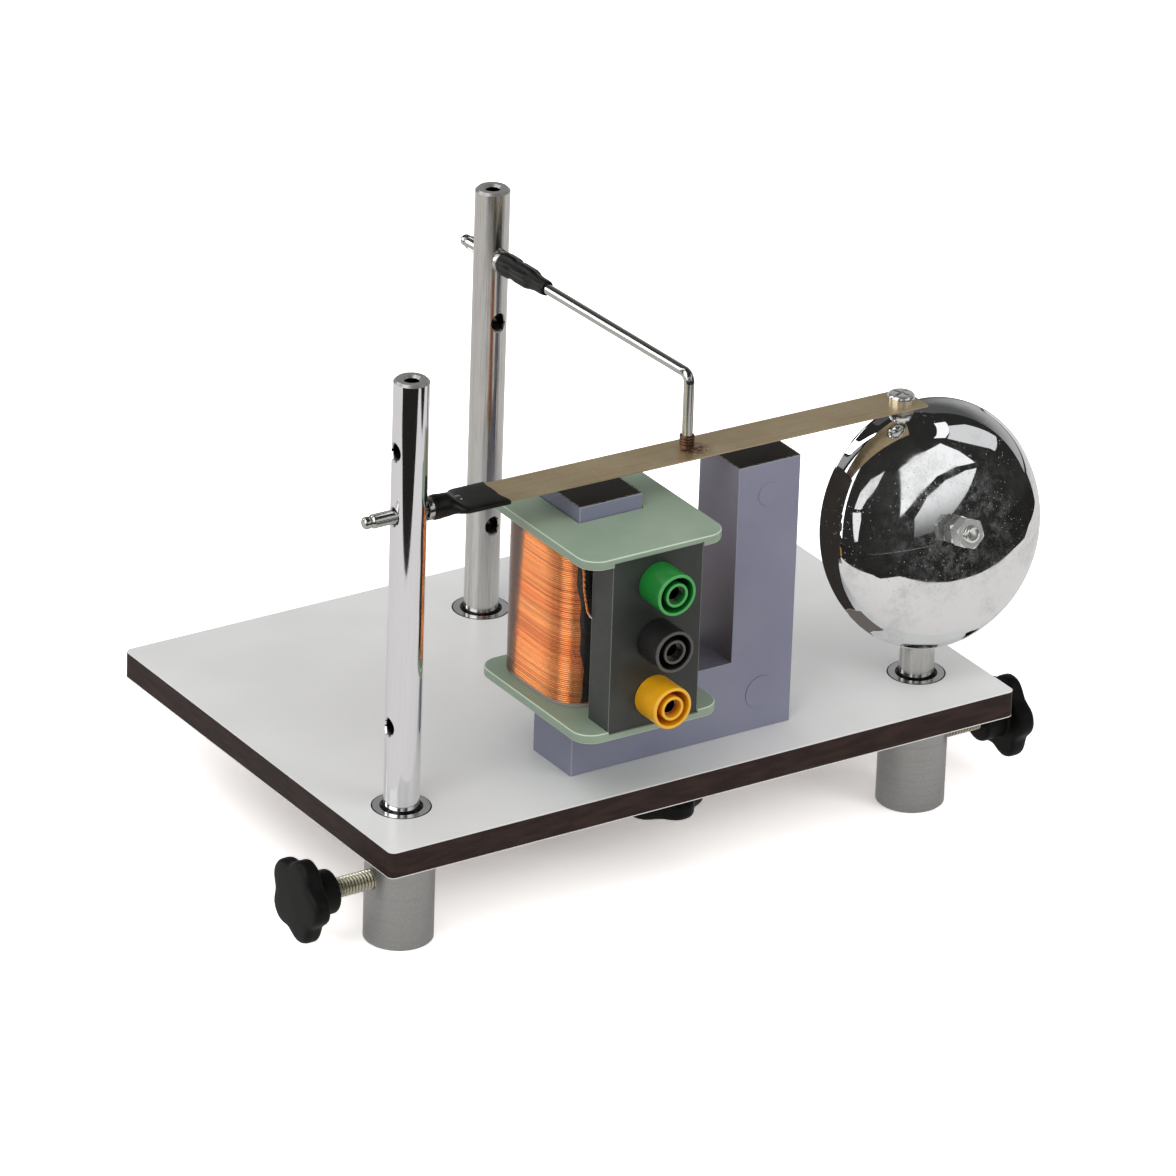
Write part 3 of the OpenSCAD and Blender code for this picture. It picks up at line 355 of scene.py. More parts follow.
def core_paint_finish():
    """Lilac-grey paint with painted shade inside, on the right leg's inner face and the yoke's top face; the
    ground pole faces above are bare, dark and rubbed.
    """
    f = Finish("core_paint", "808095")
    low, high = box_mm("u_core")
    mid_x, pole_z, yoke_z = middle("u_core").x, high.z * MM, (low.z + YOKE_H) * MM
    cloud = f.noise(26, 4)
    f.tones(f.step(cloud, 0.3, 0.7), "7f8095", "898a9d")
    f.mark(f.step(f.cells(230), 0.08, 0.03) * 0.25, "646274")
    # Lighter rounded edges: partly worn paint, partly painted highlight.
    f.mark(f.rounding("Y") * 0.5, "b0aebc")
    # Painted shade: the right leg's inner face darkens towards the yoke and the front, and the yoke's top face
    # between the legs is darkened too.
    inward = f.step(f.facing("X"), -0.7, -0.95) * f.step(f.axis("X"), mid_x * MM, (mid_x + 2) * MM)
    painted_shade = inward * (f.step(f.axis("Z"), yoke_z + 50 * MM, yoke_z, 0.1, 0.85)
                     * f.step(f.axis("Y"), high.y * MM, low.y * MM, 0.45, 1.0))
    floor = f.step(f.facing("Z"), 0.7, 0.95) * f.step(f.axis("Z"), yoke_z + MM, yoke_z + 0.3 * MM)
    f.mark((painted_shade + floor * 0.6) * f.step(cloud, 0.1, 0.6, 0.8, 1.0), "322a2c")
    pole = f.step(f.axis("Z"), pole_z - 0.3 * MM, pole_z - 0.1 * MM) * f.step(f.facing("Z"), 0.7, 0.95)
    brushed = f.noise(1500, 4, 0.7, (0.05, 1, 1))
    bare = f.mix(f.step(brushed, 0.35, 0.7), "161211", "2c2521")
    bare = f.mix(f.step(f.noise(150, 5, 0.7), 0.5, 0.7) * 0.5, bare, "2a1f19")
    rubbed = f.edges(1.1, 0.999, 0.93) * f.step(f.noise(600, 5, 0.7), 0.36, 0.56)
    f.mark(pole, f.mix(rubbed, bare, "cecac2"))
    f.rough(pole, f.blend(cloud, 0.44, 0.58), f.blend(brushed, 0.3, 0.5))
    f.put("Metallic", pole * 0.75)
    f.bump(f.noise(900, 3) * (1.0 - pole), 0.05, 0.3)
    f.bump(brushed * pole, 0.03, 0.5)
    return f.owner


def former_finish():
    f = Finish("former_green", "80947c", 0.42)
    cloud = f.noise(45, 4)
    f.tones(f.step(cloud, 0.3, 0.7), "8a9e8a", "97a995")
    f.mark(f.step(f.cells(300), 0.07, 0.03) * 0.35, "d6ded0")
    # Lighter rounded edges: partly wear, partly painted highlight.
    f.mark(f.rounding("Z") * 0.9, "cedec4")
    f.rough(cloud, 0.34, 0.5)
    f.bump(f.noise(1400, 3), 0.03, 0.3)
    return f.owner


def block_finish():
    f = Finish("block_slate", "484e49", 0.48)
    grain = f.noise(2200, 4, 0.65)
    f.tones(f.step(f.noise(60, 4), 0.3, 0.7), "2d312e", "393d3a")
    f.mark(f.step(f.noise(900, 5, 0.75), 0.64, 0.74) * 0.3, "686e67")
    # Lighter edges: partly wear, partly painted highlight.
    f.mark(f.edges(0.35) * 0.8, "969e92")
    f.rough(grain, 0.4, 0.6)
    f.bump(grain, 0.04, 0.45)
    return f.owner


def socket_finish(name, tone, shaded_recess_tone, rim):
    """Moulded plastic whose recess is deeper in colour, a painted shade, and whose front rims are lighter, partly
    wear and partly painted highlight.
    """
    f = Finish(name, tone, 0.36)
    cloud = f.noise(220, 3)
    front = box_mm(name)[0].y * MM
    shaded_recess = f.step(f.axis("Y"), front + 0.5 * MM, front + 3 * MM)
    f.tones(f.step(cloud, 0.35, 0.7), tone, srgb(tone, 0.88))
    # Painted shade: the recess is deeper in colour.
    f.mark(shaded_recess * f.step(f.radius(name), 5.2 * MM, 5.0 * MM), shaded_recess_tone)
    # Lighter front rims: partly wear, partly painted highlight.
    f.mark(f.step(f.axis("Y"), front + 0.5 * MM, front + 0.1 * MM) * 0.6, rim)
    f.rough(cloud, 0.28, 0.44)
    f.bump(f.noise(2600, 3), 0.02, 0.3)
    return f.owner


def copper_finish():
    """Enamelled copper wire, with darker brown lines along the turns."""
    f = Finish("copper_enamelled", "faa058", 0.22, Metallic=0.82, Coat_Weight=0.25, Coat_Roughness=0.12)
    bands = f.noise(24, 3, 0.5, (0.3, 0.3, 8.0))
    turns = f.noise(1300, 3, 0.6, (0.006, 0.006, 1.9))
    seams = f.step(f.noise(1300, 3, 0.6, (0.006, 0.006, 0.6)), 0.53, 0.66)
    f.tones(f.step(bands, 0.35, 0.7), "ffac62", "fa964c")
    f.mark(seams * 0.45, "be602a")
    f.mark(f.step(turns, 0.45, 0.6) * 0.42, "c6682e")
    f.rough(turns, 0.18, 0.28)
    return f.owner


def film_finish():
    """Clear film: where it is seen edge on, a grey veil of painted reflection; a grey veil where it overlaps; and
    a silvery lower rim.
    """
    f = Finish("clear_film", "cec8c6", 0.14)
    lo, hi = box_mm("winding_film")
    mid = (lo + hi) / 2
    wrinkle = f.noise(90, 4, 0.6, (1, 1, 0.35))
    lap = f.axis("Y") + f.axis("Z") * 0.08
    lap_at = (mid.y + 5.5 + mid.z * 0.08) * MM
    lapped = f.step(lap, lap_at, lap_at + 3 * MM) * f.step(f.axis("X"), (mid.x - 9) * MM, (mid.x - 13) * MM)
    overlap = lapped * f.step(wrinkle, 0.25, 0.65, 0.3, 0.55)
    hem = f.step(f.axis("Z"), (lo.z + 1.3) * MM, (lo.z + 0.7) * MM)
    # Painted reflection: the film turns opaque grey where it is seen edge on, standing in for its grazing
    # reflection.
    rim = f.step(f.add("LayerWeight", {"Blend": 0.3}, "Facing"), 0.5, 1.0, 0.03, 0.7)
    f.put("Alpha", f.math("ADD", rim, overlap + hem * 0.6, clamp=True))
    f.tones(lapped, "bcb4b0", f.mix(wrinkle, "886c5e", "584238"))
    f.rough(wrinkle, 0.08, 0.22)
    f.bump(wrinkle, 0.12, 0.3)
    return f.owner


def tape_finish():
    f = Finish("black_tape", "100e0f", 0.3)
    f.follow(f.noise(170, 5, 0.6, (1, 1, 0.5)), (0.4, 0.7), "0c0b0c", "1a1616", (0.22, 0.42), (0.3, 0.5))
    return f.owner


def shrink_finish():
    f = Finish("shrink_black", "161615", 0.34, Specular_IOR_Level=0.25)
    f.follow(f.noise(210, 4, 0.6), (0.35, 0.7), "0d0d0c", "191917", (0.26, 0.46), (0.16, 0.35))
    f.bump(f.noise(1900, 4, 0.6), 0.02, 0.4)
    return f.owner


def leaf_finish():
    """Tan spring bronze with rolled lines, lighter edges that are partly wear and partly painted highlight, and a
    rusty rub by the contact.
    """
    f = Finish("leaf_bronze", "bca886", 0.34, Metallic=0.8)
    rolled = f.noise(1500, 4, 0.65, (0.03, 1, 1))
    cloud = f.noise(55, 4, 0.6)
    at = middle("contact_tip") * MM
    away = f.distance((at.x + 2 * MM, at.y - 1 * MM, box_mm("contact_tip")[0].z * MM))
    rub = f.step(away, 6 * MM, 1.5 * MM) * f.step(f.noise(700, 4, 0.7), 0.35, 0.6)
    f.tones(f.step(cloud, 0.3, 0.75), "c4ae88", "d4c09c")
    f.mark(f.step(rolled, 0.5, 0.7) * 0.4, "ac9672")
    f.mark(rub, "704228")
    f.mark(f.step(f.cells(620), 0.13, 0.05) * 0.7, "604e38")
    # Lighter edges: partly wear, partly painted highlight.
    f.mark(f.edges(0.2) * 0.7, "ecdec2")
    f.rough(f.blend(rolled, 0.28, 0.44) + rub * 0.25)
    f.bump(rolled, 0.01, 0.4)
    f.bump(cloud, 0.15, 0.15)
    return f.owner


def nut_finish():
    """Dull zinc plate with darker edges."""
    f = Finish("nut_zinc", "e2e3e0", 0.25, Metallic=0.6)
    f.follow(f.noise(2400, 3, 0.5), (0.4, 0.7), "dcddda", "ecedea", (0.2, 0.3), (0.01, 0.2))
    f.mark(f.edges(0.22) * 0.6, "5c5e5c")
    return f.owner


def gong_finish():
    """Mirror chrome with finger smudges, faint heat colours and specks round the nuts."""
    f = Finish("gong_chrome", "e4e5e7", 0.03, Metallic=1.0)
    near = f.step(f.distance(middle("gong_lock_nut") * MM), 30 * MM, 6 * MM)
    smudge = f.step(f.noise(260, 10, 0.8), 0.44, 0.66) * near
    cloud = f.step(f.noise(55, 10, 0.78), 0.47, 0.66)
    dots = f.math("MAXIMUM", f.step(f.cells(900), 0.16, 0.08), f.step(f.cells(430), 0.07, 0.04))
    speck = dots * f.math("ADD", f.step(f.noise(75, 3), 0.46, 0.6), near * 0.5, clamp=True)
    heat = f.add("TexNoise", {"Scale": 90, "Vector": f.place}, "Color")
    f.tones(cloud * 0.5, "e5e6e7", "b2b1ae")
    f.mark(smudge * 0.6, f.mix(0.25, "b2c0b4", heat))
    f.mark(speck * 0.5, "b0b2ae")
    f.put("Metallic", 1.0 - f.math("ADD", smudge * 0.21, cloud * 0.03 + speck * 0.5, clamp=True))
    f.rough((cloud * 0.06 + 0.022) + (smudge * 0.07 + speck * 0.3))
    f.bump(f.noise(18, 2), 0.35, 0.12)
    f.bump(speck, 0.02, 0.3)
    return f.owner


ALL_WAYS = (1, 1, 1)
FINISHES = {
    "board_core": board_core_finish(),
    "laminate": laminate_finish(),
    "foot_metal": foot_finish(),
    "rod_chrome": steel("rod_chrome", "e2e2e4", "787878", 0.05, 0.05, 0.6, bored=("rod_left",)),
    "rod_steel": steel("rod_steel", "c4c3c0", "7c7870", 0.17, 0.3, 0.6,
                       bored=("rod_rear", "rod_gong")),
    "screw_zinc": steel("screw_zinc", "d0ccb8", "807658", 0.24, 0.15, 0.4, ALL_WAYS, groove_shade=0.9),
    "knob_plastic": knob_finish(),
    "core_paint": core_paint_finish(),
    "former_plastic": former_finish(),
    "copper": copper_finish(),
    "film": film_finish(),
    "block_plastic": block_finish(),
    "socket_green": socket_finish("socket_green", "188030", "082812", "60be6e"),
    "socket_black": socket_finish("socket_black", "222020", "090808", "686462"),
    "socket_yellow": socket_finish("socket_yellow", "f4b010", "d65c0a", "fcc442"),
    "contact_metal": steel("contact_metal", "cec8b4", "786e58", 0.2, stretch=(1, 0.05, 1)),
    "leaf_bronze": leaf_finish(),
    "shrink": shrink_finish(),
    "nickel": steel("nickel", "e8e8e4", "828078", 0.16, 0.12, 0.6, ALL_WAYS, 0.84, 0.7),
    "tip_copper": steel("tip_copper", "8c705e", "423028", 0.36, 0.4, 0.6, ALL_WAYS),
    "gong_chrome": gong_finish(),
}
TAPE = tape_finish()
PLUG = steel("plug_nickel", "babab6", "34322e", 0.12, 0.2, 0.6, ALL_WAYS, 0.97, 0.6)
OWN_FINISH = {"gong_lock_nut": nut_finish(), "contact_wire": PLUG}

SLOT_OF = {part["node"]: part["material_slot"] for part in frame["record"]["subparts"]}
for node_name, node_object in frame["nodes"].items():
    node_object.data.materials.clear()
    node_object.data.materials.append(OWN_FINISH.get(node_name) or FINISHES[SLOT_OF[node_name]])


# ---- mesh helpers

def arc(mid, r, start, end, steps):
    """Points of an arc, its angles in degrees."""
    angles = [math.radians(start + (end - start) * i / steps) for i in range(steps + 1)]
    return [(mid[0] + r * math.cos(a), mid[1] + r * math.sin(a)) for a in angles]


def corners(x0, y0, x1, y1):
    """A rectangle's corners, anticlockwise."""
    return [(x0, y0), (x1, y0), (x1, y1), (x0, y1)]


def round_box(lo, hi, r, steps=10):
    """A box's outline with round corners, anticlockwise."""
    return (arc((hi[0] - r, lo[1] + r), r, -90, 0, steps) + arc((hi[0] - r, hi[1] - r), r, 0, 90, steps)
            + arc((lo[0] + r, hi[1] - r), r, 90, 180, steps) + arc((lo[0] + r, lo[1] + r), r, 180, 270, steps))


def soft_profile(corners, steps=4):
    """A profile of (radius, height, rounding) corners as points, each corner rounded."""
    out = []
    for i, (x, z, r) in enumerate(corners):
        here = Vector((x, z))
        if r and 0 < i < len(corners) - 1:
            back = Vector(corners[i - 1][:2]) - here
            on = Vector(corners[i + 1][:2]) - here
            start = here + back.normalized() * min(r, back.length * 0.5)
            end = here + on.normalized() * min(r, on.length * 0.5)
            for k in range(steps + 1):
                t = k / steps
                out.append(tuple(start * (1 - t) ** 2 + here * 2 * t * (1 - t) + end * t * t))
        else:
            out.append((x, z))
    return out


def skin(rings):
    """Points and faces of a skin over rings with the same number of points."""
    sides = len(rings[0])
    faces = []
    for start in range(0, (len(rings) - 1) * sides, sides):
        for k in range(sides):
            n = (k + 1) % sides
            faces.append((start + k, start + n, start + sides + n, start + sides + k))
    return [p for points in rings for p in points], faces


def capped(rings):
    points, faces = skin(rings)
    sides = len(rings[0])
    faces.append(tuple(range(sides))[::-1])
    faces.append(tuple(range(len(points) - sides, len(points))))
    return points, faces


def ring(z, steps, radius):
    """Points round Z at a height, at radius(share of a turn, angle)."""
    out = []
    for k in range(steps):
        a = math.tau * k / steps
        r = radius(k / steps, a)
        out.append((r * math.cos(a), r * math.sin(a), z))
    return out


def lathe(profile, steps, shape=None):
    """A profile of (radius, height) turned about Z; shape(angle, r, z) may bend the radius."""
    return skin([ring(z, steps, lambda _, a: shape(a, r, z) if shape else r) for r, z in profile])


def divided(profile, longest):
    """A profile whose stretches are divided to about a length."""
    out = []
    for a, b in zip(profile, profile[1:]):
        count = max(1, round((Vector(b) - Vector(a)).length / longest))
        out += [tuple(Vector(a).lerp(Vector(b), k / count)) for k in range(count)]
    return out + [profile[-1]]


def tube(path, r, sides):
    """A tube along a path, with flat ends."""
    rings = []
    last = len(path) - 1
    side = None
    for i, p in enumerate(path):
        along = (path[min(i + 1, last)] - path[max(i - 1, 0)]).normalized()
        if side is None:
            side = along.orthogonal().normalized()
        side = (side - along * side.dot(along)).normalized()
        up = along.cross(side)
        rings.append([p + r * (side * math.cos(math.tau * k / sides) + up * math.sin(math.tau * k / sides))
                      for k in range(sides)])
    return capped(rings)


def inset(points, distance):
    """An outline drawn in to its left by a distance."""
    out = []
    for i, here in enumerate(points):
        here = Vector(here)
        into = (here - Vector(points[i - 1])).normalized()
        on = (Vector(points[(i + 1) % len(points)]) - here).normalized()
        lean = Vector((-into.y, into.x)) + Vector((-on.y, on.x))
        out.append(here + lean / max(lean.length_squared / 2, 0.4) * distance)
    return out


def plate(outlines, z0, z1, edge, high_edge=None, caps=(True, True)):
    """A plate with rounded edges. The first outline runs anticlockwise, and holes clockwise."""
    high_edge = edge if high_edge is None else high_edge
    turns = [math.pi / 2 * k / 3 for k in range(4)]
    sides = ([(edge * (1 - math.sin(t)), z0 + edge * (1 - math.cos(t))) for t in turns]
             + [(high_edge * (1 - math.cos(t)), z1 - high_edge * (1 - math.sin(t))) for t in turns])
    points, faces, low, high = [], [], [], []
    for outline in outlines:
        rings = [[(p.x, p.y, z) for p in inset(outline, d)] for d, z in sides]
        ring_points, ring_faces = skin(rings)
        start = len(points)
        points += ring_points
        faces += [tuple(i + start for i in face) for face in ring_faces]
        low.append([start + i for i in range(len(outline))])
        high.append([start + len(ring_points) - len(outline) + i for i in range(len(outline))])
    for wanted, cap in zip(caps, (low, high)):
        if wanted:
            index = [i for loop in cap for i in loop]
            loops = [[Vector((points[i][0], points[i][1], 0)) for i in loop] for loop in cap]
            faces += [tuple(index[i] for i in tri) for tri in tessellate_polygon(loops)]
    return points, faces


def joined(*parts):
    """Several pairs of points and faces as one."""
    points, faces = [], []
    for part_points, part_faces in parts:
        start = len(points)
        points += [tuple(p) for p in part_points]
        faces += [tuple(i + start for i in face) for face in part_faces]
    return points, faces


def moved(shape, matrix):
    return [matrix @ Vector(p) for p in shape[0]], shape[1]


def piece(name, shape, body, slot, stands_for=(), finish=None, angle=38, flat_caps=True):
    """A piece from points in millimetres, smooth where faces meet at less than an angle."""
    mesh = bpy.data.meshes.new(name)
    mesh.from_pydata([Vector(p) * MM for p in shape[0]], [], shape[1])
    work = bmesh.new()
    work.from_mesh(mesh)
    bmesh.ops.remove_doubles(work, verts=work.verts, dist=2e-7)
    bmesh.ops.dissolve_degenerate(work, dist=1e-7, edges=work.edges)
    bmesh.ops.recalc_face_normals(work, faces=work.faces)
    work.to_mesh(mesh)
    work.free()
    mesh.shade_smooth()
    mesh.set_sharp_from_angle(angle=math.radians(angle))
    mesh.materials.append(finish or FINISHES[slot])
    made = placed(name, mesh)
    if flat_caps:
        weighted = made.modifiers.new("weighted_normals", "WEIGHTED_NORMAL")
        weighted.keep_sharp = True
    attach(made, body)
    if stands_for:
        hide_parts(*stands_for)
    return made


def along_axis(at, axis, turn=0.0):
    """A frame in millimetres at a point, with Z along an axis."""
    return (Matrix.Translation(at) @ Vector(axis).to_track_quat("Z", "Y").to_matrix().to_4x4()
            @ Matrix.Rotation(turn, 4, "Z"))


# ---- board

NECK_HOLE_R = 8.35
SCREW_HOLE_R = 3.1
EDGE_R = {"base_board": 0.05, "top_laminate": 0.12, "bottom_laminate": 0.1}

post_places = [middle(n).xy for n in ("foot_left", "foot_right", "foot_rear")]
core_place = middle("core_washer").xy
for name, edge in EDGE_R.items():
    lo, hi = box_mm(name)
    holes = [arc(at, NECK_HOLE_R, 0, -357.5, 143) for at in post_places]
    holes.append(arc(core_place, SCREW_HOLE_R, 0, -350, 35))
    outline = round_box(lo, hi, 2)
    piece(name + "_fine", plate([outline] + holes, lo.z, hi.z, edge), "base", SLOT_OF[name], [name])


# ---- knobs and screws

KNOB_R, KNOB_H, HUB_R, HEAD_Z, LOBES, HOLLOW = 12.5, 12.5, 6.3, 7.1, 5, 2.3
SCREW_R, CREST_FLAT, FLANK, TIP_NARROWING = 2.9, 0.12, 0.72, 0.28
THREAD_SIDES, ROWS_A_TURN = 40, 10


def knob_shape():
    """A star knob along Z, from its hub's end to its domed face."""
    profile = soft_profile([
        (0, 0.15, 0), (3.2, 0, 0), (HUB_R, 0, 1.2), (HUB_R - 0.1, HEAD_Z, 0.9),
        (KNOB_R, HEAD_Z - 0.05, 1.7), (KNOB_R, KNOB_H - 0.7, 1.9), (9.4, KNOB_H - 0.25, 2.5),
        (0, KNOB_H, 0)], steps=6)
    profile = [p for i, p in enumerate(profile) if i == 0 or (Vector(p) - Vector(profile[i - 1])).length > 0.02]

    def hollowed(a, r, z):
        if r <= HUB_R or z < HEAD_Z - 0.3:
            return r
        depth = HOLLOW * ((1 + math.cos(LOBES * a)) / 2) ** 1.35
        return r - depth * (r - HUB_R) / (KNOB_R - HUB_R)
    return lathe(divided(profile, 0.7), 180, hollowed)


def screw_shape(length, r, pitch=1.0, depth=0.52, tip=0.8):
    """A threaded rod along Z with a pointed start."""
    rows = round(length / pitch * ROWS_A_TURN)
    rings = []
    for i in range(rows + 1):
        z = length * i / rows

        def thread(share, _):
            crest = abs(2 * ((z / pitch - share) % 1) - 1)
            root = 1 - min(1, max(0, (crest - CREST_FLAT) / FLANK))
            return (r - depth * root) * (1 - TIP_NARROWING * max(0, 1 - z / tip))
        rings.append(ring(z, THREAD_SIDES, thread))
    return capped(rings)


def length_along(node, axis):
    lo, hi = box_mm(node)
    return (hi - lo).dot(Vector(map(abs, axis)))


SIDES = {"left": ((-1, 0, 0), "clamp_screw_left", 38), "right": ((1, 0, 0), "clamp_screw_right", 63),
         "rear": ((0, 1, 0), "clamp_screw_rear", 0), "core": ((0, 0, -1), "core_screw", 14)}

for side, (out, screw, turn) in SIDES.items():
    axis, knob = Vector(out), "knob_" + side
    hub_end = middle(knob) - axis * length_along(knob, axis) / 2
    piece(knob + "_fine", moved(knob_shape(), along_axis(hub_end, axis, math.radians(turn))),
          "handle_" + side, "knob_plastic", [knob], angle=60)
    if side == "core":
        axis = -axis
    length = length_along(screw, axis)
    start = middle(screw) - axis * length / 2
    piece(screw + "_thread", moved(screw_shape(length, SCREW_R), along_axis(start, axis)),
          "screw_" + side, "screw_zinc", [screw], angle=50, flat_caps=False)


# ---- core

LEG_W, CORE_EDGE = 20.4, 0.45
core_lo, core_hi = box_mm("u_core")
left_leg, right_leg = core_lo.x + LEG_W, core_hi.x - LEG_W
pole, yoke_top, sole = -core_hi.z, -core_lo.z - YOKE_H, -core_lo.z
u_outline = [(core_lo.x, pole), (left_leg, pole), (left_leg, yoke_top), (right_leg, yoke_top),
             (right_leg, pole), (core_hi.x, pole), (core_hi.x, sole), (core_lo.x, sole)]
stand_up = Matrix(((1, 0, 0, 0), (0, 0, 1, 0), (0, -1, 0, 0), (0, 0, 0, 1)))
piece("u_core_fine", moved(plate([u_outline], core_lo.y, core_hi.y, CORE_EDGE), stand_up),
      "base", "core_paint", ["u_core"])


# ---- coil

former_lo, former_hi = box_mm("coil_former")
block_lo, block_hi = box_mm("terminal_block")
coil_lo, coil_hi = box_mm("winding_core")
FLANGE_R, FLANGE_EDGE, LEG_GAP, WALL = 6.0, 0.35, 0.4, 1.4
coil_x, coil_y = middle("winding_core").xy


def round_leg(gap):
    """A rectangle round the core's left leg, at a distance."""
    return corners(core_lo.x - gap, core_lo.y - gap, left_leg + gap, core_hi.y + gap)


seat = corners(block_lo.x, former_lo.y, block_hi.x, block_hi.y)


def flange_outline(notched):
    """The flange with round corners; notched, it leaves out the terminal block's seat."""
    front = [seat[0], seat[3], seat[2], seat[1]] if notched else seat[:2]
    return front + round_box(former_lo, former_hi, FLANGE_R, 12)


def flange(inner_z, seat_z, outer_z):
    """A flange with a shallow seat for the terminal block in the face towards the coil."""
    (low_z, low), (high_z, high) = sorted(((inner_z, flange_outline(True)), (outer_z, flange_outline(False))))
    layers = (plate([low, leg_hole], low_z, seat_z, FLANGE_EDGE, 0, (True, False)),
              plate([high, leg_hole], seat_z, high_z, 0, FLANGE_EDGE, (False, True)))
    return joined(*layers, ([(x, y, seat_z) for x, y in seat], [(0, 1, 2, 3)]))


leg_hole = round_leg(LEG_GAP)
leg_hole[1:] = leg_hole[:0:-1]
low_flange = flange(coil_lo.z, block_lo.z, former_lo.z)
top_flange = flange(coil_hi.z, block_hi.z + 0.3, former_hi.z)
former_tube = plate([round_leg(LEG_GAP + WALL), leg_hole], coil_lo.z - 0.5, coil_hi.z + 0.5, 0.05)
piece("coil_former_fine", joined(low_flange, top_flange, former_tube), "base", "former_plastic",
      ["coil_former"])

WIRE_D, PITCH, SQUARENESS, TURN_STEPS = 0.56, 0.585, 3.8, 80
winding_half = box_mm("winding_film")[1].x - coil_x - 0.3 - WIRE_D / 2 - 0.05


def bulged(half, a):
    """A circle drawn out towards a square."""
    c, s = math.cos(a), math.sin(a)
    return Vector((c, s)) * half / (abs(c) ** SQUARENESS + abs(s) ** SQUARENESS) ** (1 / SQUARENESS)


def winding_path():
    """One layer of fine turns, with its two ends led off to the terminal block."""
    low = coil_lo.z + WIRE_D / 2 + 0.08
    turns = int((coil_hi.z - coil_lo.z - WIRE_D - 0.2) / PITCH)
    lead = [(7.5, 0.3), (6.5, 1.6), (4.0, 3.2)]
    path = [Vector((coil_x - x, block_hi.y + y, low)) for x, y in lead]
    for i in range(turns * TURN_STEPS + 1):
        a = -math.pi / 2 + math.tau * i / TURN_STEPS
        p = bulged(winding_half, a)
        uneven = 0.025 * noise.noise(Vector((p.x * 0.15, p.y * 0.15, i / TURN_STEPS * 0.9)))
        rise = 0.014 * noise.noise(Vector((p.x * 0.05, i / TURN_STEPS * 2.1, 3)))
        p *= 1 + uneven / winding_half
        path.append(Vector((coil_x + p.x, coil_y + p.y, low + PITCH * i / TURN_STEPS + rise)))
    return path + [Vector((coil_x + x, block_hi.y + y, path[-1].z)) for x, y in lead[::-1]]


piece("winding_fine", tube(winding_path(), WIRE_D / 2, 7), "base", "copper", ["winding"],
      angle=80, flat_caps=False)


def wall_strip(start, end, offset, thick, low, high, wave=None, columns=120):
    """A thin upright sheet that follows the winding from one angle to another."""
    rows = 24

    def at(col, row, out):
        t = row / rows
        first, second = start, end
        if wave:
            first, second = start + wave(t), end - wave(t * 0.8 + 0.1)
        a = math.radians(first + (second - first) * col / columns)
        p = bulged(winding_half + WIRE_D / 2 + offset + out, a)
        return (coil_x + p.x, coil_y + p.y, low + (high - low) * t)
    points, faces = [], []
    for out in (0, thick):
        for row in range(rows + 1):
            points += [at(col, row, out) for col in range(columns + 1)]
    wide, sheet = columns + 1, (columns + 1) * (rows + 1)

    def quad(i, on, over):
        faces.append((i, i + on, i + on + over, i + over))
    for row in range(rows):
        for i in range(row * wide, row * wide + columns):
            quad(i, wide, 1)
            quad(sheet + i, 1, wide)
    for row in range(rows):
        quad(row * wide, wide, sheet)
        quad(row * wide + columns, wide, sheet)
    for col in range(columns):
        quad(col, 1, sheet)
        quad(rows * wide + col, 1, sheet)
    return points, faces


def torn(t):
    """Sideways waves of the tape's edge, in degrees."""
    return 2.6 * math.sin(5.2 * t + 0.6) + 1.2 * math.sin(13 * t) + 0.6 * math.sin(31 * t + 1)


TAPE_SIDE = 38.5
piece("coil_tape", wall_strip(-90 - TAPE_SIDE, -90 + TAPE_SIDE, 0.06, 0.1, coil_lo.z + 1.4, coil_hi.z - 0.3,
                              torn), "base", "film", finish=TAPE, angle=60)
FILM_OPEN = 30
piece("winding_film_fine", wall_strip(-90 + FILM_OPEN, 270 - FILM_OPEN, 0.2, 0.08, coil_lo.z + 0.15,
                                      coil_hi.z - 0.1, columns=220), "base", "film", ["winding_film"], angle=60)


def pigtail_shape():
    """Two fine wires twisted together, with a tinned end at the terminal block."""
    lo, hi = box_mm("pigtail")
    spine = [Vector((lo.x + x, hi.y + y, hi.z + z)) for x, y, z in (
        (-0.6, -0.7, 0), (-0.7, -0.9, -3), (-0.3, -1.2, -7), (-0.4, -1.6, -11), (0.1, -1.9, -14.5))]
    spine += [Vector((lo.x + x, lo.y + y, hi.z + z)) for x, y, z in ((0.2, 0.9, -17), (0.5, 0.5, -18.3))]
    steps = 110
    strands = []
    for phase in (0, math.pi):
        path = []
        for i in range(steps + 1):
            u = i / steps * (len(spine) - 1)
            k = min(int(u), len(spine) - 2)
            p = spine[k].lerp(spine[k + 1], u - k)
            a = phase + i * 0.42
            path.append(p + 0.22 * Vector((math.cos(a), math.sin(a), 0)))
        strands.append(tube(path, 0.18, 8))
    tin = tube([spine[-1] + Vector(v) for v in ((-0.1, 0.1, 0.3), (0.3, -0.3, -0.6), (0.9, -0.6, -1.2),
                                                (1.6, -0.7, -1.4))], 0.3, 10)
    return joined(*strands), tin


twist, tinned_end = pigtail_shape()
piece("pigtail_twist", twist, "base", "copper", ["pigtail"], angle=80, flat_caps=False)
piece("pigtail_tin", tinned_end, "base", "nickel", angle=60, flat_caps=False)


# ---- sockets

PLUG_HOLE_R, SLEEVE_WALL, STEM_R = 2.05, 0.6, 4.5
SOCKET_R, GROOVE_R, RING_R, GROOVE_DEPTH = 6.1, 5.1, 3.5, 8.0

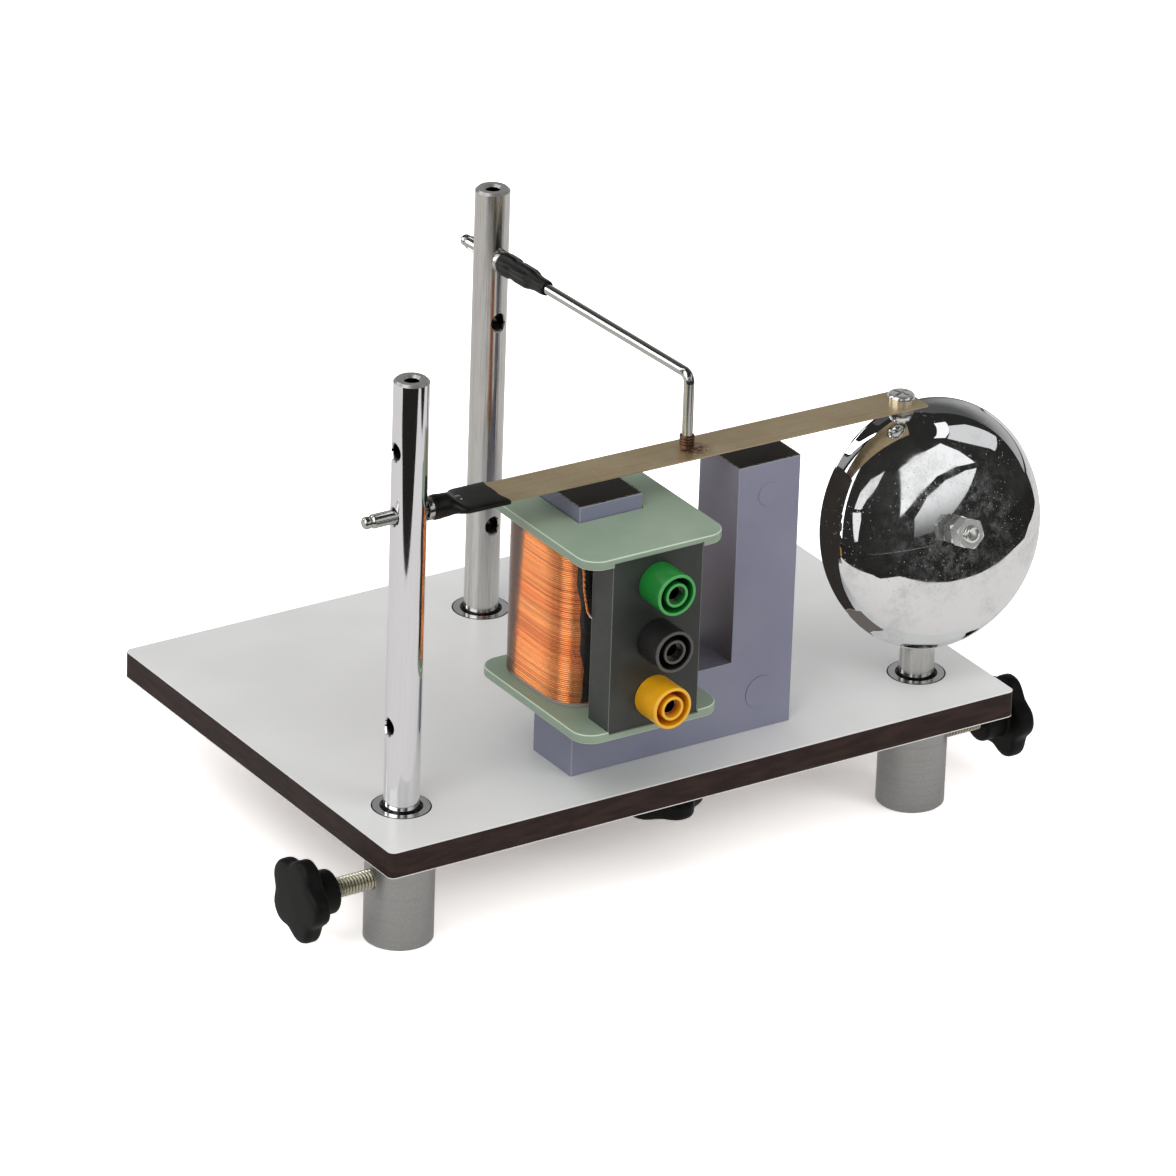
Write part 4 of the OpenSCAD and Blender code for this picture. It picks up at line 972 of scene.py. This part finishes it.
for name in ("socket_green", "socket_black", "socket_yellow"):
    lo, hi = box_mm(name)
    at = Vector((middle(name).x, block_lo.y, middle(name).z))
    back, front = block_lo.y - hi.y, block_lo.y - lo.y
    bore = PLUG_HOLE_R + SLEEVE_WALL
    shell = soft_profile([
        (bore, back, 0), (STEM_R, back, 0.2), (STEM_R, 0, 0), (SOCKET_R - 0.05, 0, 0.2),
        (SOCKET_R, front, 0.75), (GROOVE_R + 0.05, front, 0.3), (GROOVE_R, front - GROOVE_DEPTH, 0.3),
        (RING_R, front - GROOVE_DEPTH, 0.3), (RING_R, front - 0.02, 0.35), (bore, front - 0.02, 0.35),
        (bore, back, 0)], steps=5)
    piece(name + "_fine", moved(lathe(shell, 96), along_axis(at, (0, -1, 0))), "base", name, [name], angle=50)


# ---- rods' plugs and sleeves

LEAF_DROOP = math.radians(0.68)
SLEEVE_SIDES = 72
leaf_at = Vector((*middle("rod_left").xy, middle("leaf_plug").z))
in_leaf = Matrix.Translation(leaf_at) @ Matrix.Rotation(LEAF_DROOP, 4, "Y")
arm_joint = next(j for j in frame["joints"] if j["name"] == "contact_arm_turn")
arm_axis = Vector(arm_joint["axis"])
arm_at = Vector(arm_joint["pos_m"]) / MM


def plug_shape(tip, end):
    """A 4 mm plug along Z, with its sprung strips and the collar at its root."""
    profile = soft_profile([
        (0, -tip, 0), (1.1, -tip + 0.02, 0.3), (1.7, -tip + 0.55, 0.5), (1.7, -tip + 1.9, 0.2),
        (1.4, -tip + 2.2, 0.1), (1.4, -tip + 2.5, 0.1), (1.99, -tip + 2.95, 0.3), (1.99, 5.0, 0.02),
        (3.28, 5.0, 0.3), (3.28, 6.8, 0.3), (1.6, 6.8, 0.05), (1.6, end, 0.05), (0, end, 0)], steps=5)

    def slotted(a, r, z):
        if -tip + 3.1 < z < 4.6 and r > 1.5:
            ends = min(1, (z + tip - 3.1) / 0.5, (4.6 - z) / 0.5)
            return r - 0.55 * ends * max(0, math.cos(4 * a)) ** 12
        return r
    return lathe(divided(profile, 0.6), 128, slotted)


leaf_tip = leaf_at.x - box_mm("leaf_plug")[0].x
piece("leaf_plug_fine", moved(plug_shape(leaf_tip, 16.2), along_axis(leaf_at, (1, 0, 0))), "left_post",
      "nickel", ["leaf_plug"], PLUG, 50)
plug_box = box_mm("contact_plug")
arm_tip = (Vector((arm_at.x, plug_box[1].y)) - arm_at.xy).length / abs(arm_axis.y) - 0.09
piece("contact_plug_fine", moved(plug_shape(arm_tip, 16.4), along_axis(arm_at, arm_axis, 0.4)),
      "contact_arm", "nickel", ["contact_plug"], PLUG, 50)


def ring_of(x, half_w, half_t, power, skew=None):
    """A cross-section square to X: a round that flattens as its power falls."""
    points = []
    for k in range(SLEEVE_SIDES):
        a = math.tau * k / SLEEVE_SIDES
        c, s = math.cos(a), math.sin(a)
        y = half_w * math.copysign(abs(c) ** power, c)
        z = half_t * math.copysign(abs(s) ** power, s)
        wrinkle = 1 + 0.02 * noise.noise(Vector((x * 0.5, y * 0.6, z * 0.9)))
        points.append(Vector((x + (skew(y) if skew else 0), y * wrinkle, z * wrinkle)))
    return points


def leaf_sleeve_shape():
    """Heat-shrink tube: round over the plug, crimped, then flat over the leaf's root."""
    rows = [(6.85, 2.9, 2.9, 1), (7.0, 3.25, 3.25, 1), (7.4, 3.45, 3.45, 1), (8.6, 3.48, 3.46, 0.95),
            (9.6, 3.46, 3.44, 1), (10.4, 3.3, 3.28, 0.93), (11.0, 3.36, 3.3, 0.97), (11.8, 3.46, 3.28, 1)]
    rings = [ring_of(*row) for row in rows]
    taper = [(12.7, 3.7, 3.0, 0.95), (13.4, 4.3, 2.5, 0.88), (14.1, 5.2, 2.0, 0.8), (14.8, 6.1, 1.6, 0.7),
             (15.6, 6.8, 1.25, 0.6), (16.6, 7.1, 1.08, 0.52), (18.2, 7.15, 1.0, 0.5), (20, 7.16, 0.98, 0.48)]
    rings += [ring_of(x, w, t, p, skew=lambda y: 0.2 * y) for x, w, t, p in taper]
    rings.append(ring_of(25, 7.18, 0.96, 0.48))

    def mouth(y):
        return -0.85 * (1 - (y / 7.2) ** 2) + 0.2 * math.sin(y * 0.9 + 1)
    lip = [(27.2, 7.2, 0.96), (27.85, 7.22, 0.98), (28.0, 7.18, 0.88), (27.95, 6.9, 0.6), (27.4, 6.82, 0.5)]
    rings += [ring_of(x, w, t, 0.48, skew=mouth) for x, w, t in lip]
    rings.append(ring_of(20, 6.8, 0.5, 0.48))
    return moved(capped(rings), in_leaf)


piece("leaf_sleeve_fine", leaf_sleeve_shape(), "left_post", "shrink", ["leaf_sleeve"], angle=45)


def arm_sleeve_shape():
    """Heat-shrink tube on the contact arm: blunt flats over the plug, then a narrow neck."""
    rows = [(6.85, 2.85, 0), (7.05, 3.3, 0.03), (7.6, 3.48, 0.07), (9.5, 3.47, 0.12), (11.5, 3.44, 0.12),
            (12.4, 3.08, 0.08), (13.4, 3.05, 0.1), (14.4, 3.24, 0.13), (17, 3.24, 0.13), (19.6, 3.22, 0.12),
            (20.6, 3.05, 0.1), (21.6, 2.7, 0.08), (22.5, 2.44, 0.07), (24, 2.37, 0.08), (26, 2.35, 0.08),
            (27.0, 2.28, 0.05), (27.4, 2.18, 0.03), (27.65, 2.0, 0.0), (27.6, 1.6, 0.0), (27.0, 1.52, 0.0)]
    rings = []
    for x, r, flat in rows:
        def ridged(_, a):
            wrinkle = 1 + 0.012 * noise.noise(Vector((x * 0.6, math.cos(a) * 2, math.sin(a) * 2)))
            return r * (1 - flat * (0.5 + 0.5 * math.cos(6 * a + 0.5)) ** 1.2) * wrinkle
        rings.append(ring(x, SLEEVE_SIDES, ridged))
    return moved(capped(rings), along_axis(arm_at, arm_axis, 0.2))


piece("contact_sleeve_fine", arm_sleeve_shape(), "contact_arm", "shrink", ["contact_sleeve"], angle=32)


# ---- leaf

LEAF_ROOT, LEAF_END, LEAF_W, LEAF_T, STRIKER_OUT, STRIKER_R = 16.5, 165.5, 13.0, 0.5, 160.6, 2.0
leaf_outline = round_box((LEAF_ROOT, -LEAF_W / 2), (LEAF_END, LEAF_W / 2), 0.4, 4)
leaf_hole = arc((STRIKER_OUT, 0), STRIKER_R, 0, -350, 35)
piece("leaf_spring_fine", moved(plate([leaf_outline, leaf_hole], -LEAF_T / 2, LEAF_T / 2, 0.07), in_leaf),
      "armature", "leaf_bronze", ["leaf_spring"])


# ---- gong

GONG_R, GONG_DEPTH, SKIRT, CROWN_EDGE, GONG_WALL = 35.7, 14.7, 7.3, 32.6, 1.5
STUD_R, STUD_BACK, STUD_FRONT = 2.45, 6.0, 24.2
YAW, TILT = math.radians(-93.8), math.radians(15.2)
gong_axis = Vector((math.cos(YAW) * math.cos(TILT), math.sin(YAW) * math.cos(TILT), math.sin(TILT)))
gong_mid = middle("gong_stud") - gong_axis * (STUD_FRONT - STUD_BACK) / 2
crown_h = GONG_DEPTH - SKIRT
CROWN_R = (CROWN_EDGE ** 2 + crown_h ** 2) / (2 * crown_h)


def crown(x, wall):
    """Height of the crown over the rim's plane at a radius."""
    return GONG_DEPTH - CROWN_R + math.sqrt((CROWN_R - wall) ** 2 - x * x)


def gong_side(wall):
    """Half the gong's section, from its rim to its hole."""
    rim = Vector((GONG_R - wall, 0))
    corner = Vector((CROWN_EDGE - wall, crown(CROWN_EDGE - wall, wall)))
    low = rim.lerp(corner, 0.35)
    x = CROWN_EDGE * 0.8
    top = Vector((x, crown(x, wall)))
    bend = [low * (1 - t) ** 2 + corner * 2 * t * (1 - t) + top * t * t
            for t in (i / 24 for i in range(25))]
    face = [Vector((u, crown(u, wall))) for u in (x + (2.55 - x) * i / 30 for i in range(1, 31))]
    return [rim.lerp(low, i / 6) for i in range(6)] + bend + face


outside = gong_side(0)
inside = gong_side(GONG_WALL)
outside[0] += Vector((-0.25, 0.02))
outside.insert(1, Vector((GONG_R - 0.02, 0.3)))
inside[0] += Vector((0.25, 0.02))
gong_section = [tuple(p) for p in outside] + [tuple(p) for p in reversed(inside)]
gong_section.append(gong_section[0])
piece("gong_fine", moved(lathe(gong_section, 256), along_axis(gong_mid, gong_axis)), "gong_post",
      "gong_chrome", ["gong"], angle=50, flat_caps=False)
stud = screw_shape(STUD_FRONT + STUD_BACK, STUD_R, 0.8, 0.36, 0.6)
piece("gong_stud_thread", moved(stud, along_axis(gong_mid + gong_axis * STUD_FRONT, -gong_axis)), "gong_post",
      "nickel", ["gong_stud"], angle=50, flat_caps=False)


# ---- studio

def studio_piece(name, points, faces, material):
    mesh = bpy.data.meshes.new(name)
    mesh.from_pydata(points, [], faces)
    mesh.materials.append(material)
    made = placed(name, mesh)
    return made


def seen_rays(f, strength):
    """A strength for camera, glossy and transmission rays, and none for the rest."""
    rays = [f.add("LightPath", out=f"Is {kind} Ray") for kind in ("Camera", "Glossy", "Transmission")]
    return f.math("MAXIMUM", f.math("MAXIMUM", *rays[:2]), rays[2]) * strength


WHITE = (1, 1, 1, 1)
FLOOR_COLOUR = (0.62, 0.60, 0.585, 1)
SEEN_COLOUR = (0.88, 0.852, 0.84, 1)
UNDER_SHIFT = (37.0, 56.0)
CLEAR_GLOW = (0.002, 0.045, 0.0, 0.34)
FLOOR_GLOW = 0.22
WORLD_LIGHT = 0.72
LAMPS_AIM = Vector((0, 0, 0.06))
ROOM_R, SOFTBOX_AT = 3.2, 1.7


def floor_finish():
    """A pale floor that shows as white where no shadow lies on it; beyond the board's footprint, shifted back, a
    glow for camera rays paints light over the shadow.
    """
    f = Nodes(bpy.data.materials.new("studio_floor"))
    plain = f.add("AddShader", {0: f.add("BsdfDiffuse", {"Color": FLOOR_COLOUR}), 1: f.add(
        "Emission", {"Color": WHITE, "Strength": seen_rays(f, FLOOR_GLOW)})})
    # Painted light: outside the board's footprint, shifted back, a glow for camera rays clears the shadow, from
    # nothing near the footprint to full beyond it.
    lo, hi = box_mm("base_board")
    place = f.geometry("Position")
    past = []
    for k, (axis, shift) in enumerate(zip("XY", UNDER_SHIFT)):
        offset = f.math("SUBTRACT", f.axis(axis, place), ((lo[k] + hi[k]) / 2 + shift) * MM)
        past.append(f.math("SUBTRACT", f.math("ABSOLUTE", offset), (hi[k] - lo[k]) / 2 * MM))
    lift = f.add("Emission", {"Color": WHITE, "Strength": f.step(f.math("MAXIMUM", *past), *CLEAR_GLOW)})
    seen = f.add("AddShader", {k: f.add("BsdfDiffuse", {"Color": SEEN_COLOUR}) for k in (0, 1)})
    f.add("OutputMaterial", {"Surface": f.add("MixShader", {
        0: f.add("LightPath", out="Is Camera Ray"), 1: plain, 2: f.add("AddShader", {0: seen, 1: lift})})})
    return f.owner


def glow_finish(name, colour, strength, fade=None):
    """A glow, which may fade from one strength to another between two heights in metres."""
    f = Nodes(bpy.data.materials.new(name))
    if fade:
        strength = f.step(f.axis("Z", f.geometry("Position")), *fade)
    f.add("OutputMaterial", {"Surface": f.add("Emission", {"Color": colour, "Strength": strength})})
    return f.owner


def mirrored_only(name, points, faces, colour, strength, fade=None):
    """A glowing studio piece that shows in reflections and nowhere else."""
    made = studio_piece(name, points, faces, glow_finish(name, colour, strength, fade))
    for rays in ("camera", "diffuse", "transmission", "shadow"):
        setattr(made, "visible_" + rays, False)


def filled(outline):
    return [tuple(t) for t in tessellate_polygon([outline])]


studio_piece("studio_floor", [(x, y, 0) for x, y in corners(-8, -8, 8, 8)], [(0, 1, 2, 3)], floor_finish())

world = bpy.data.worlds.new("studio_world")
bpy.context.scene.world = world
sky = Nodes(world)
sky.add("OutputWorld", {"Surface": sky.add("MixShader", {
    0: seen_rays(sky, 1.0), 1: sky.add("Background", {"Color": WHITE, "Strength": WORLD_LIGHT}),
    2: sky.add("Background", {"Color": WHITE, "Strength": 1.0})})})


def area_lamp(name, at, size, watts):
    data = bpy.data.lights.new(name, "AREA")
    data.shape = "SQUARE"
    data.size = size
    data.energy = watts
    lamp = placed(name, data)
    lamp.location = at
    lamp.rotation_euler = (LAMPS_AIM - Vector(at)).to_track_quat("-Z", "Y").to_euler()
    lamp.visible_glossy = False


area_lamp("key_lamp", (-1.1, -0.6, 1.7), 0.9, 9.0)
area_lamp("fill_lamp", (0.9, -1.6, 0.9), 0.8, 7.0)


def bearing(azimuth, elevation):
    """A point seen from the gong's middle: azimuth from +X, both angles in degrees."""
    a, e = math.radians(azimuth), math.radians(elevation)
    way = Vector((math.cos(a) * math.cos(e), math.sin(a) * math.cos(e), math.sin(e)))
    return gong_mid * MM + SOFTBOX_AT * way


def softbox(name, strength, corners, fade=None):
    """A bright panel through corners given by azimuth and elevation."""
    fine = []
    for (a0, e0), (a1, e1) in zip(corners, corners[1:] + corners[:1]):
        fine += [(a0 + (a1 - a0) * i / 6, e0 + (e1 - e0) * i / 6) for i in range(6)]
    mirrored_only(name, [bearing(a, e) for a, e in fine], filled([Vector((a, e, 0)) for a, e in fine]), WHITE,
                  strength, fade)


def upright_box(name, strength, start, end, top):
    """A softbox between two azimuths, from just above the floor to an elevation."""
    softbox(name, strength, corners(start, 2, end, top))


mirrored_only("dark_room", *lathe(arc((0, 0), ROOM_R, -2, 90, 12), 48), (1.0, 0.97, 0.93, 1), 0.026)

softbox("front_tent", 1.15, [(-85.8, 32.5), (-76.0, 35.4), (-58.7, 34.8), (-51.7, 28.2), (-46.5, 20.8),
                             (-57.3, 24.1), (-68.2, 24.3), (-78.7, 20.6), (-90.4, 12.8)])
softbox("front_cone", 0.8, [(-85, 3.3), (-83.8, 11), (-76.1, 18.1), (-64.9, 21.4), (-53.3, 20.7), (-47, 18.8),
                            (-54.7, 14), (-65.1, 8.6), (-75.8, 3.7)], (0.15, 0.62, 0.12, 1.0))
softbox("window_bar", 1.2, [(-38.1, 55.8), (-29.3, 50.4), (-54.0, 35.8), (-59.5, 40.1)])
softbox("right_window", 0.8, [(-37.3, 46.4), (-22.6, 39.4), (-14.0, 27.0), (-11.0, 21.5), (-33.0, 18.5),
                              (-43.2, 26.6), (-53.5, 34.6)])
softbox("left_slit", 1.0, [(-99.8, 38.0), (-115.2, 38.3), (-128.2, 32.4), (-132.7, 22.8), (-121.4, 21.4),
                           (-114.2, 26.4), (-103.6, 30.4)])
softbox("left_bits", 1.0, [(-134.4, 20.5), (-120.5, 19.7), (-119.3, 15.5), (-123.0, 3.7), (-128.0, 3.3)])
softbox("back_wall", 0.4, [(-7, 1), (100, 1), (96, 60), (0, 60)], (0.1, 1.1, 0.5, 0.1))
upright_box("back_left_box", 3.4, 124, 137, 72)
upright_box("back_left_dim", 0.35, 139, 150, 60)
upright_box("left_box", 2.5, 160, 208, 64)

CARD = [(-458, -60), (-330, -160), (-217, -243), (-100, -345), (-17, -402), (61, -424), (95, -365),
        (124, -314), (167, -271), (228, -244), (283, -232), (355, -227), (456, -199), (519, -37),
        (2094, -76), (3150, -100), (3100, -1400), (2000, -3000), (-2000, -3000), (-3100, -300)]
card = [Vector((x, y, 1.0)) * MM for x, y in CARD]
mirrored_only("dark_floor", card, filled(card), (1.0, 0.95, 0.9, 1), 0.02)

board_top = box_mm("top_laminate")[1].z
# Painted reflection: a dark card, seen only in reflections, stands in for the shaded right side of the core in the
# gong.
flag = [Vector((core_hi.x + 7, y, z)) * MM
        for y, z in corners(core_lo.y + 1, board_top + 1, core_hi.y + 8, core_hi.z)]
mirrored_only("dark_flag", flag, [(0, 1, 2, 3)], (1.0, 0.86, 0.76, 1), 0.035)
# Painted reflection: a dim card on the board beside the core stands in for the board in the core's shade.
shade = [Vector((core_hi.x + x, y, board_top + 0.4)) * MM
         for x, y in corners(7, core_lo.y - 6, 26, core_hi.y + 8)]
mirrored_only("shade_card", shade, [(0, 1, 2, 3)], (1.0, 0.88, 0.8, 1), 0.16)

bpy.context.view_layer.update()
